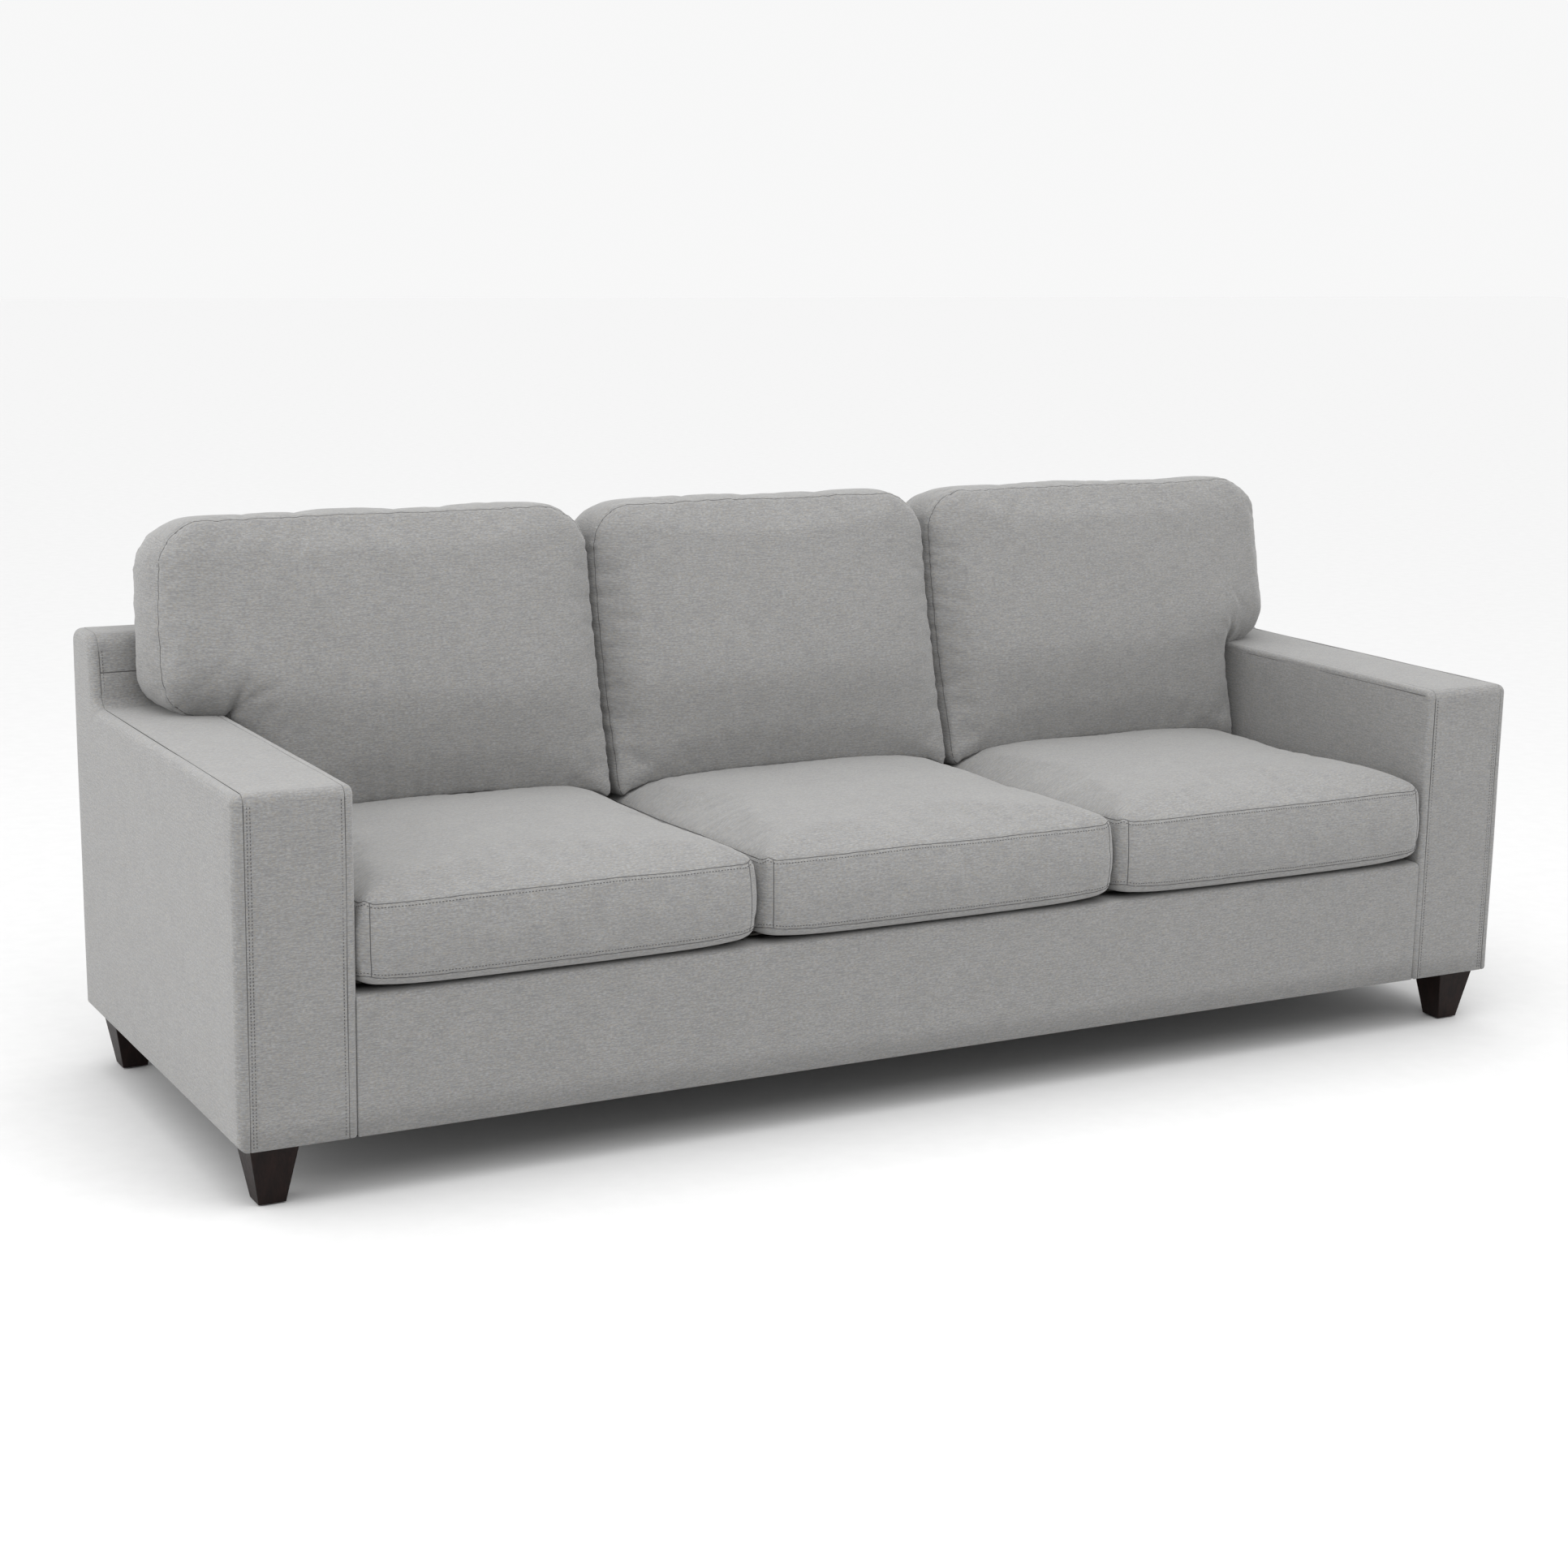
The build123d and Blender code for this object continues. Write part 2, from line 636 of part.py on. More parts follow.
def dust_cover():
    """Thin cloth stapled under the frame, cut out round the legs."""
    with BuildPart() as piece:
        with BuildSketch(Plane.XY.offset(BOTTOM_Z)):
            low, high = FRONT_Y + COVER + FIT, REAR_LOW_Y - COVER - FIT
            with Locations((0, (low + high) / 2)):
                Rectangle(2 * (ARM_OUT - SIDE_WRAP - FIT), high - low)
            with Locations(*LEG_SPOTS.values()):
                Rectangle(LEG_TOP + LEG_CUT, LEG_TOP + LEG_CUT, mode=Mode.SUBTRACT)
        extrude(amount=DUST_CLOTH)
    save(piece, "dust_cover")


# ======================================================================================
# Seat cushions
# ======================================================================================


def seat_block(x0, x1, inset):
    """A boxed cushion with a crowned top, lying on the deck."""
    floor = deck_plane((x0 + x1) / 2, NOSE_Y, -REST - inset)
    half = (x1 - x0) / 2 - inset
    length = (SEAT_REAR_Y - NOSE_Y) / cos(DECK_PITCH)
    along = Plane(origin=floor.origin, x_dir=floor.y_dir, z_dir=floor.x_dir)
    across = Plane(origin=floor.origin, x_dir=floor.x_dir, z_dir=-floor.y_dir)
    low = 2 * inset
    crown = SEAT_CROWN - low
    nose = [(0, 0), (0, SEAT_EDGE - low)] + [(y, crown - drop) for y, drop in SEAT_NOSE_STEPS]
    tail = [
        (length * SEAT_TAIL, crown - SEAT_TAIL_DROP),
        (length, crown - SEAT_END_DROP),
        (length, 0),
    ]
    left = [(-half, 0), (-half, SEAT_SIDE - low)]
    left += [(x - half, crown - drop) for x, drop in SEAT_SIDE_STEPS]
    right = [(-x, z) for x, z in reversed(left)]
    with BuildPart(mode=Mode.PRIVATE) as block:
        with BuildSketch(floor):
            with Locations((0, length / 2)):
                RectangleRounded(2 * half, length - 2 * inset, SEAT_CORNER_R - inset)
        extrude(amount=2 * SEAT_CROWN)
        with BuildSketch(along):
            Polygon(*nose, *tail, align=None)
        extrude(amount=2 * half, both=True, mode=Mode.INTERSECT)
        with BuildSketch(across):
            Polygon(*left, *right, align=None)
        extrude(amount=2 * length, both=True, mode=Mode.INTERSECT)
    return block.part


def cushion(cover_label, core_label, block):
    """A sewn cover as a closed skin and the filling inside it, each one node."""
    with BuildPart() as cover:
        add(block(0.0))
        add(block(CUSHION_COVER), mode=Mode.SUBTRACT)
    save(cover, cover_label)
    with BuildPart() as core:
        add(block(CUSHION_COVER + CORE_GAP))
    save(core, core_label)


# ======================================================================================
# Back cushions
# ======================================================================================


def back_block(x0, x1, ear, inset):
    """
    A boxed cushion that leans on the inside back and stands on the seat cushions.
    An outer one has an ear, which reaches over the arm on the side that ear gives.
    """
    base = rake_plane(BACK_FOOT_Z, -REST - inset)
    top = (BACK_CUSHION_TOP_Z - BACK_FOOT_Z) / cos(RAKE) - inset
    up = Plane(origin=base.origin, x_dir=base.y_dir, z_dir=base.x_dir)
    round_it = Plane(origin=base.origin, x_dir=base.x_dir, z_dir=base.y_dir)
    outer = [x0 + inset, x1 - inset]
    if ear:
        outer[0 if ear < 0 else 1] = ear * (EAR_X - inset)
    boxing = BACK_BOXING - 2 * inset
    middle = sum(outer) / 2
    arm_clear = ARM_TOP_Z + 1.5 * REST + inset
    foot_lift = SEAT_CROWN + 2.5 * REST + inset
    rise = [(top * share, boxing + crown) for share, crown in BACK_RISE_STEPS]
    left = [(outer[0], 0), (outer[0], -boxing)]
    left += [(outer[0] + x, -boxing - BACK_CROWN * share) for x, share in BACK_SIDE_STEPS]
    right = [(2 * middle - x, y) for x, y in reversed(left)]
    with BuildPart(mode=Mode.PRIVATE) as block:
        with BuildSketch(base) as plan:
            with Locations((middle, top / 2)):
                Rectangle(outer[1] - outer[0], top)
            fillet(plan.vertices().group_by(Axis.Y)[-1], EAR_R - inset)
        extrude(amount=BACK_BOXING + BACK_CROWN)
        with BuildSketch(up):
            Polygon((0, 0), *rise, (top, 0), align=None)
        extrude(amount=WIDTH, both=True, mode=Mode.INTERSECT)
        with BuildSketch(round_it):
            Polygon(*left, *right, align=None)
        extrude(amount=WIDTH, both=True, mode=Mode.INTERSECT)
        if ear:
            with BuildSketch(Plane.XY.offset(arm_clear)):
                with Locations((ear * (ARM_IN - 1.5 * REST - inset), 0)):
                    edge = Align.MIN if ear > 0 else Align.MAX
                    Rectangle(ARM_WIDTH, WIDTH, align=(edge, Align.CENTER))
            extrude(amount=-ARM_TOP_Z, mode=Mode.SUBTRACT)
            lower_ear = block.edges().filter_by(
                lambda e: abs(e.center().Z - arm_clear) < REST
                and abs(e.center().X) > EAR_X - inset - 2 * REST
                and e.length > BACK_BOXING / 2
            )
            fillet(lower_ear, EAR_LOW_R - inset)
        split(bisect_by=deck_plane(0, FRONT_Y, -foot_lift), keep=Keep.TOP)
    return block.part


# ======================================================================================
# Make every piece
# ======================================================================================

front_and_rear_rails()
stretchers()
back_rails()
corner_blocks()
for side_name, side_sign in SIDES.items():
    side_timber(side_name, side_sign)
    back_post(side_name, side_sign)
    arm_pad(side_name, side_sign)
    outside_arm(side_name, side_sign)
    arm_band(side_name, side_sign)
    inside_arm(side_name, side_sign)

for leg_label, leg_spot in LEG_SPOTS.items():
    leg(leg_label, leg_spot)
glides()
leg_plates()
plate_screws()
hanger_bolts()

seat_springs()
spring_clips()
spring_ties()
back_webbing()
back_pad()
deck_layer("deck_pad", DECK_CLOTH + DECK_FOAM, DECK_FOAM - FIT)
edge_roll()

front_rail_cover()
deck_layer("deck_cloth", DECK_CLOTH, DECK_CLOTH)
inside_back_cover()
back_top_band()
outside_back_cover()
dust_cover()

END = ARM_IN - 1.5 * REST
PLACES = {
    "left": (-END, -SEAT_SPLIT_X - GAP, -1),
    "centre": (GAP - SEAT_SPLIT_X, SEAT_SPLIT_X - GAP, 0),
    "right": (SEAT_SPLIT_X + GAP, END, 1),
}
for place, (low_x, high_x, ear_side) in PLACES.items():
    cushion(
        f"seat_cover_{place}",
        f"seat_core_{place}",
        lambda inset: seat_block(low_x, high_x, inset),
    )
    cushion(
        f"back_cover_{place}",
        f"back_fill_{place}",
        lambda inset: back_block(low_x, high_x, ear_side, inset),
    )
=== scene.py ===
import json
import math

import bmesh
import bpy
from mathutils import Matrix, Vector, noise
from mathutils.bvhtree import BVHTree
from mathutils.kdtree import KDTree


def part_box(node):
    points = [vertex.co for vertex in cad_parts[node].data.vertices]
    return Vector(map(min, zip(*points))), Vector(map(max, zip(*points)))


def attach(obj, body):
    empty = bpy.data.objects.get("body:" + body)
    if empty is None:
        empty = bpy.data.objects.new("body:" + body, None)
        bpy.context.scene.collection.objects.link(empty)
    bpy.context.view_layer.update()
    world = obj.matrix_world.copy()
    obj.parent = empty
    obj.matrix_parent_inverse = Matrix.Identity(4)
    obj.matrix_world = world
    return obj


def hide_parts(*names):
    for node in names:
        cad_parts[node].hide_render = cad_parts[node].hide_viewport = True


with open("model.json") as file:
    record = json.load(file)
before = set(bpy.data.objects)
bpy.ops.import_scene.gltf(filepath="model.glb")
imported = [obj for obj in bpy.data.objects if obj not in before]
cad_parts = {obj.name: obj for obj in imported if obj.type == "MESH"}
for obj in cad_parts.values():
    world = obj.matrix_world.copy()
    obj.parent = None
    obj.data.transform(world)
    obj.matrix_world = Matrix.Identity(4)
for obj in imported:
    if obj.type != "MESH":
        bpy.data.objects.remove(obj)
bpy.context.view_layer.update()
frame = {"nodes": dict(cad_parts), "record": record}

bl_info = {
    "name": "Three-seat sofa",
    "version": (1, 0, 0),
    "blender": (4, 5, 0),
    "location": "View3D > Sidebar > Sofa",
    "description": "Upholstery, cushions, legs and studio of a sofa with loose cushions",
    "category": "Object",
}

MM = 0.001
SIDES = {"left": -1, "right": 1}
PLACES = ("left", "centre", "right")

# ---- places that the frame gives -----------------------------------------------------
OUTER_LOW, OUTER_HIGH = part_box("outside_arm_right")
ARM_OUT = OUTER_HIGH.x
FRONT_Y = OUTER_LOW.y
BOTTOM_Z = OUTER_LOW.z
BACK_TOP_Z = OUTER_HIGH.z
PANEL = OUTER_HIGH.x - OUTER_LOW.x
ARM_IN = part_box("inside_arm_right")[0].x
ARM_TOP_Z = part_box("arm_band_right")[0].z + 500 * MM
BACK_SEAM_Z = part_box("arm_band_right")[1].z
REAR_LOW_Y = OUTER_HIGH.y - 12.85 * MM
RAIL_TOP_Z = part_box("front_rail_cover")[1].z
NOSE_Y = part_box("seat_cover_centre")[0].y
SEAT_REAR_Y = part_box("seat_cover_centre")[1].y
DECK_FRONT_Z = 298 * MM
DECK_PITCH = math.radians(1.5)
RAKE = math.radians(8.0)
REAR_LEAN = 0.021
ARM_SEAM_IN = ARM_IN + 13 * MM
ARM_SEAM_OUT = ARM_OUT - PANEL
NOTCH_X = ARM_IN - 4 * MM
FRONT_ROUND = 14 * MM
HEEL_ROUND = 20 * MM
HEAD_ROUND = 24 * MM
REAR_ROUND = 21 * MM


def inside_y(z):
    """Front surface of the inside back at a height."""
    return 0.300 + (z - 0.627) * math.tan(RAKE)


def rear_y(z):
    """Rear surface of the outside back at a height."""
    return REAR_LOW_Y + (z - BOTTOM_Z) * REAR_LEAN


def deck_z(y):
    """Top surface of the seat deck at a depth."""
    return DECK_FRONT_Z - (y - FRONT_Y) * math.tan(DECK_PITCH)


# ---- settings ------------------------------------------------------------------------


def linear(hex_colour):
    """An sRGB hex colour as linear red, green, blue and alpha."""
    value = hex_colour.lstrip("#")
    channels = [int(value[i : i + 2], 16) / 255 for i in (0, 2, 4)]
    return [c / 12.92 if c <= 0.04045 else ((c + 0.055) / 1.055) ** 2.4 for c in channels] + [1.0]


def length_prop(name, description, default):
    return bpy.props.FloatProperty(
        name=name, description=description, default=default, unit="LENGTH"
    )


def colour_prop(name, description, hex_colour):
    return bpy.props.FloatVectorProperty(
        name=name,
        description=description,
        subtype="COLOR",
        size=4,
        min=0.0,
        max=1.0,
        default=linear(hex_colour),
    )


class SofaSizes(bpy.types.PropertyGroup):
    """Sizes of the soft work."""

    edge_round: length_prop("Edge roundness", "Radius of the outer edges of the arms", 13 * MM)
    seam_round: length_prop(
        "Seam roundness", "How far a panel's edge rolls into its seam", 1.6 * MM
    )
    seat_crown: length_prop(
        "Seat crown", "How far the seat cushions rise above their seam", 36 * MM
    )
    seat_round: length_prop("Seat corner", "Plan radius of the seat cushions' corners", 23 * MM)
    back_crown: length_prop(
        "Back crown", "How far the back cushions swell past their seam", 62 * MM
    )
    boxing: length_prop("Back boxing", "Width of the strip round the back cushions", 114 * MM)
    back_foot: length_prop(
        "Back foot", "How much thicker the back cushions are at their foot", 58 * MM
    )
    stitch_pitch: length_prop("Stitch pitch", "Distance from one topstitch to the next", 5 * MM)
    voxel: length_prop("Remesh size", "Size of the cloth mesh before it is subdivided", 8 * MM)


class SofaColours(bpy.types.PropertyGroup):
    """Colours of the sofa."""

    cloth: colour_prop("Cloth", "Main yarn of the cover", "#8D8E8E")
    cloth_dark: colour_prop("Cloth, dark yarn", "Dark yarn of the heathered cover", "#69696B")
    cloth_warm: colour_prop("Cloth, warm yarn", "Beige yarn of the heathered cover", "#888174")
    thread: colour_prop("Thread", "Topstitching thread", "#4E4D4D")
    wood: colour_prop("Legs", "Stained wood of the legs", "#1E110E")
    timber: colour_prop("Frame timber", "Bare timber of the frame", "#C9A777")


# ---- materials -----------------------------------------------------------------------


def new_material(name):
    material = bpy.data.materials.new(name)
    material.use_nodes = True
    nodes = material.node_tree.nodes
    nodes.clear()
    output = nodes.new("ShaderNodeOutputMaterial")
    shader = nodes.new("ShaderNodeBsdfPrincipled")
    material.node_tree.links.new(shader.outputs[0], output.inputs["Surface"])
    return material, shader


def add_node(material, kind, settings=None, **inputs):
    """A node with its settings, and its inputs set from values or linked from sockets."""
    node = material.node_tree.nodes.new("ShaderNode" + kind)
    for key, value in (settings or {}).items():
        setattr(node, key, value)
    for key, value in inputs.items():
        numbered = key[0] == "i" and key[1:].isdigit()
        socket = node.inputs[int(key[1:]) if numbered else key]
        if isinstance(value, bpy.types.NodeSocket):
            material.node_tree.links.new(value, socket)
        else:
            socket.default_value = value
    return node


def link(material, source, target):
    material.node_tree.links.new(source, target)


def mixed(material, factor, first, second):
    """A colour between two others."""
    mix = add_node(material, "Mix", {"data_type": "RGBA"}, Factor=factor, i6=first, i7=second)
    return mix.outputs[2]


def rescaled(material, value, low, high, new_low=0.0, new_high=1.0):
    """A value held between two limits and carried over to two others."""
    limits = {"i1": low, "i2": high, "i3": new_low, "i4": new_high}
    return add_node(material, "MapRange", {"clamp": True}, Value=value, **limits).outputs[0]


def noisy(material, place, scale, detail, **inputs):
    node = add_node(material, "TexNoise", Vector=place, Scale=scale, Detail=detail, **inputs)
    return node.outputs[0]


def bumped(material, shader, height, strength, distance):
    bump = add_node(material, "Bump", Height=height, Strength=strength, Distance=distance)
    link(material, bump.outputs[0], shader.inputs["Normal"])


def woven_cover(name):
    """
    A plain-woven upholstery cloth of slubbed polyester and linen yarns, heathered in
    light grey, darker grey and beige. It looks matt, with short streaks along the weft.
    The real yarns are about 0.7 mm apart; they are drawn at 1.5 mm so that they show.
    """
    colours = bpy.context.scene.sofa_colours
    material, shader = new_material(name)
    uv = add_node(material, "UVMap", {"uv_map": "weave"}).outputs[0]
    yarn = 1 / (1.5 * MM)

    def streaks(x_stretch, y_stretch, detail, seed):
        place = add_node(
            material,
            "Mapping",
            {"vector_type": "POINT"},
            Vector=uv,
            Location=(seed, seed * 0.7, seed * 0.3),
            Scale=(yarn / x_stretch, yarn / y_stretch, 1.0),
        ).outputs[0]
        return noisy(material, place, 1.0, detail, Roughness=0.6)

    weft = streaks(3.6, 1.0, 3.0, 3.0)
    warp = streaks(1.0, 2.2, 3.0, 11.0)
    slub = streaks(16.0, 1.4, 2.0, 23.0)
    cloudy = streaks(40.0, 30.0, 2.0, 41.0)
    colour = colours.cloth[:]
    for yarns, low, high, most, tint in (
        (weft, 0.38, 0.64, 0.78, colours.cloth_dark),
        (warp, 0.44, 0.68, 0.60, colours.cloth_warm),
        (slub, 0.44, 0.70, 0.55, colours.cloth_dark),
    ):
        colour = mixed(material, rescaled(material, yarns, low, high, 0.0, most), colour, tint[:])
    tone = rescaled(material, cloudy, 0.3, 0.7, 0.97, 1.03)
    shaded = add_node(material, "HueSaturation", Color=colour, Value=tone)
    link(material, shaded.outputs[0], shader.inputs["Base Color"])
    crossing = add_node(material, "Math", {"operation": "ADD"}, i0=weft, i1=warp)
    bumped(material, shader, crossing.outputs[0], 0.35, 0.6 * MM)
    link(material, rescaled(material, weft, 0.2, 0.8, 0.82, 0.96), shader.inputs["Roughness"])
    shader.inputs["Specular IOR Level"].default_value = 0.22
    shader.inputs["Sheen Weight"].default_value = 0.25
    shader.inputs["Sheen Roughness"].default_value = 0.55
    return material


def sewing_thread(name):
    """Bonded polyester thread, spun, with a slight gloss and uneven colour."""
    material, shader = new_material(name)
    thread = bpy.context.scene.sofa_colours.thread
    place = add_node(material, "TexCoord").outputs["Object"]
    speckle = noisy(material, place, 900.0, 1.0)
    tint = mixed(material, speckle, thread[:], [c * 0.7 for c in thread[:3]] + [1.0])
    link(material, tint, shader.inputs["Base Color"])
    shader.inputs["Roughness"].default_value = 0.6
    return material


def grained_wood(name, colour, dark, across, roughness, gloss=0.4):
    """
    Sawn wood whose grain runs along one axis: close pores and slow bands of colour.
    The pores of the real wood are about 0.3 mm wide; they are drawn at 1 mm.
    """
    material, shader = new_material(name)
    place = add_node(material, "TexCoord").outputs["Object"]
    grain = add_node(material, "Mapping", Vector=place, Scale=across).outputs[0]
    pores = noisy(material, grain, 1.0, 4.0, Roughness=0.65)
    bands = noisy(material, grain, 0.12, 2.0, Distortion=1.2)
    both = add_node(material, "Math", {"operation": "ADD"}, i0=pores, i1=bands).outputs[0]
    tint = mixed(material, rescaled(material, both, 0.75, 1.25), colour, dark)
    link(material, tint, shader.inputs["Base Color"])
    bumped(material, shader, pores, 0.25, 0.4 * MM)
    uneven = rescaled(material, pores, 0.3, 0.7, roughness - 0.06, roughness + 0.08)
    link(material, uneven, shader.inputs["Roughness"])
    shader.inputs["Specular IOR Level"].default_value = gloss
    return material


def mottled(name, light, dark, grain_mm, roughness, metallic=0.0, bump_mm=0.2, sheen=0.0):
    """A plain material with the uneven colour and surface of its making, at a real grain."""
    material, shader = new_material(name)
    place = add_node(material, "TexCoord").outputs["Object"]
    speckle = noisy(material, place, 1 / (grain_mm * MM), 3.0, Roughness=0.6)
    tint = mixed(material, rescaled(material, speckle, 0.35, 0.65), linear(light), linear(dark))
    link(material, tint, shader.inputs["Base Color"])
    smoothest, roughest = max(roughness - 0.06, 0.02), min(roughness + 0.06, 1.0)
    uneven = rescaled(material, speckle, 0.3, 0.7, smoothest, roughest)
    link(material, uneven, shader.inputs["Roughness"])
    bumped(material, shader, speckle, 0.4, bump_mm * MM)
    shader.inputs["Metallic"].default_value = metallic
    shader.inputs["Sheen Weight"].default_value = sheen
    return material


def finish_of(key):
    """The material of that key, made once."""
    if key in bpy.data.materials:
        return bpy.data.materials[key]
    colours = bpy.context.scene.sofa_colours
    steel = {"metallic": 1.0, "bump_mm": 0.05}
    makers = {
        "woven_linen_blend": lambda: woven_cover(key),
        "polyester_topstitch_thread": lambda: sewing_thread(key),
        "stained_rubberwood": lambda: grained_wood(
            key, colours.wood[:], linear("#0F0807"), (600.0, 600.0, 45.0), 0.45, gloss=0.16
        ),
        "sawn_frame_timber": lambda: grained_wood(
            key, colours.timber[:], linear("#A37C4B"), (30.0, 400.0, 400.0), 0.72
        ),
        "birch_plywood": lambda: grained_wood(
            key, linear("#D4B98C"), linear("#B08F5E"), (400.0, 300.0, 30.0), 0.7
        ),
        "zinc_plated_steel": lambda: mottled(key, "#B9BBBE", "#96999E", 1.5, 0.38, **steel),
        "oiled_spring_wire": lambda: mottled(key, "#5B5D60", "#3E4043", 1.0, 0.42, **steel),
        "moulded_nylon": lambda: mottled(key, "#26262A", "#1C1C1F", 1.2, 0.5, bump_mm=0.05),
        "nylon_zip_coil": lambda: mottled(key, "#8A8987", "#6F6E6C", 0.8, 0.45, bump_mm=0.05),
        "elastic_webbing": lambda: mottled(key, "#2D2D2D", "#1B1B1B", 1.6, 0.85),
        "polyurethane_foam": lambda: mottled(key, "#E8DDB8", "#D3C490", 2.0, 0.95, bump_mm=0.6),
        "polyester_fibre": lambda: mottled(key, "#F0F0EC", "#DADAD6", 3.0, 0.95, bump_mm=0.8),
        "black_cambric": lambda: mottled(key, "#1C1C1D", "#101011", 1.4, 0.92, bump_mm=0.3),
        "grey_platform_cloth": lambda: mottled(
            key, "#A5A39E", "#8B8985", 1.6, 0.93, bump_mm=0.3, sheen=0.1
        ),
        "studio_paper": lambda: mottled(key, "#D6D6D6", "#D4D4D4", 40.0, 0.95, bump_mm=0.01),
    }
    return makers[key]()


# ---- building helpers ----------------------------------------------------------------


def box_weave(mesh):
    """
    A UV map in metres, laid on each face along the axis that it faces most, so that the
    weft runs level on every panel.
    """
    layer = mesh.uv_layers.new(name="weave")
    for polygon in mesh.polygons:
        n = polygon.normal
        facing = max(range(3), key=lambda i: abs(n[i]))
        for loop in polygon.loop_indices:
            p = mesh.vertices[mesh.loops[loop].vertex_index].co
            layer.data[loop].uv = ((p.y, p.z), (p.x, p.z), (p.x, p.y))[facing]


def placed(spot, first, second, third, size=(1.0, 1.0, 1.0)):
    """The matrix that carries the X, Y and Z axes to three directions at a spot, scaled."""
    turn = Matrix((first, second, third)).transposed().to_4x4()
    return Matrix.Translation(spot) @ turn @ Matrix.Diagonal((*size, 1.0))


def object_of(name, bm):
    """An object in the scene with the mesh of a bmesh, which is freed."""
    mesh = bpy.data.meshes.new(name)
    bm.to_mesh(mesh)
    bm.free()
    made = bpy.data.objects.new(name, mesh)
    bpy.context.scene.collection.objects.link(made)
    return made


def tree_of(points):
    """A tree that finds the nearest of some points."""
    tree = KDTree(len(points))
    for i, p in enumerate(points):
        tree.insert(p, i)
    tree.balance()
    return tree


def new_piece(name, bm, body, material, nodes=(), weave=True):
    """A finished piece from a bmesh, riding on its body with its material."""
    bmesh.ops.recalc_face_normals(bm, faces=bm.faces)
    piece = object_of(name, bm)
    dress(piece, material, body, nodes, weave)
    return piece


def dress(piece, material, body, nodes, weave=True):
    """Gives a piece its weave, material and body, and hides the CAD nodes that it replaces."""
    for polygon in piece.data.polygons:
        polygon.use_smooth = True
    if weave:
        box_weave(piece.data)
    piece.data.materials.clear()
    piece.data.materials.append(finish_of(material))
    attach(piece, body)
    if nodes:
        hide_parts(*nodes)


def cut(bm, point, normal):
    """Cuts every face of a mesh by one plane."""
    geometry = bm.verts[:] + bm.edges[:] + bm.faces[:]
    bmesh.ops.bisect_plane(bm, geom=geometry, plane_co=point, plane_no=normal, dist=1e-6)


def cut_grid(bm, step, axes=(0, 1, 2)):
    """Cuts a mesh by planes every step along the axes, so that its flat faces can be shaped."""
    for axis in axes:
        low = min(v.co[axis] for v in bm.verts)
        high = max(v.co[axis] for v in bm.verts)
        count = max(int((high - low) / step), 1)
        normal = Vector([float(i == axis) for i in range(3)])
        for i in range(1, count):
            cut(bm, normal * (low + (high - low) * i / count), normal)


def ripple(bm, height, grain, keep=None):
    """Moves a mesh's vertices a little along their normals, as cloth over padding lies."""
    bm.normal_update()
    for v in bm.verts:
        if keep is None or keep(v.co):
            v.co += v.normal * height * noise.noise(v.co / grain)


def rounded(bm, geom, radius, segments, affect="VERTICES"):
    """Rounds corners or edges."""
    bmesh.ops.bevel(
        bm,
        geom=geom,
        offset=radius,
        segments=segments,
        profile=0.5,
        affect=affect,
        material=-1,
        clamp_overlap=affect == "EDGES",
    )


def extrude(bm, faces, way):
    grown = bmesh.ops.extrude_face_region(bm, geom=faces)
    moved = [g for g in grown["geom"] if isinstance(g, bmesh.types.BMVert)]
    bmesh.ops.translate(bm, verts=moved, vec=way)
    bmesh.ops.recalc_face_normals(bm, faces=bm.faces)


def plate(corners, x_from, x_to, round_from, round_to):
    """
    A panel from one X to another with the outline of its (depth, height, corner radius)
    corners, and with each rim rounded by its own radius.
    """
    bm = bmesh.new()
    verts = [bm.verts.new((x_from, y, z)) for y, z, _ in corners]
    bm.faces.new(verts)
    for vert, (_, _, radius) in zip(verts, corners):
        if radius:
            rounded(bm, [vert], radius, 6)
    extrude(bm, bm.faces[:], (x_to - x_from, 0, 0))
    for x, radius, segments in ((x_from, round_from, 3), (x_to, round_to, 6)):
        rim = [e for e in bm.edges if all(abs(v.co.x - x) < 1e-6 for v in e.verts)]
        if radius:
            rounded(bm, rim, radius, segments, "EDGES")
    return bm


def frame_cover(name, nodes, corners, ends, rims, grid, swell):
    """
    A padded panel of the frame in the cover cloth. It goes over the CAD nodes that it
    replaces; grid is the step and the axes of its cuts, swell what ripple is given.
    """
    bm = plate(corners, *ends, *rims)
    cut_grid(bm, *grid)
    ripple(bm, *swell)
    piece = new_piece(name, bm, "frame", "woven_linen_blend", nodes)


# ---- stitches ------------------------------------------------------------------------


def spaced(points, pitch):
    """Points every pitch along a line of points, each with the direction of travel."""
    result = []
    left = pitch / 2
    for a, b in zip(points, points[1:]):
        run = (b - a).length
        if run < 1e-9:
            continue
        way = (b - a) / run
        while left < run:
            result.append((a + way * left, way))
            left += pitch
        left -= run
    return result


def stitch_line(name, lines, body, length=3.3 * MM, width=0.75 * MM):
    """
    Topstitches along lines of (point, normal) on a surface. Each stitch is a small
    rounded grain of thread that lies half in the cloth.
    """
    pitch = bpy.context.scene.sofa_sizes.stitch_pitch
    bm = bmesh.new()
    for line in lines:
        points = [p for p, _ in line]
        normals = tree_of(points)
        for spot, way in spaced(points, pitch):
            up = line[normals.find(spot)[1]][1]
            side = up.cross(way).normalized()
            up = way.cross(side).normalized()
            place = placed(spot, way, side, up, (length / 2, width, width))
            bmesh.ops.create_icosphere(bm, subdivisions=1, radius=1.0, matrix=place)
    new_piece(name, bm, body, "polyester_topstitch_thread", weave=False)


def straight(start, end, normal, steps=24):
    """A line of (point, normal) from one point to another."""
    start, end, normal = Vector(start), Vector(end), Vector(normal)
    return [(start.lerp(end, i / steps), normal) for i in range(steps + 1)]


# ---- fixed covers --------------------------------------------------------------------


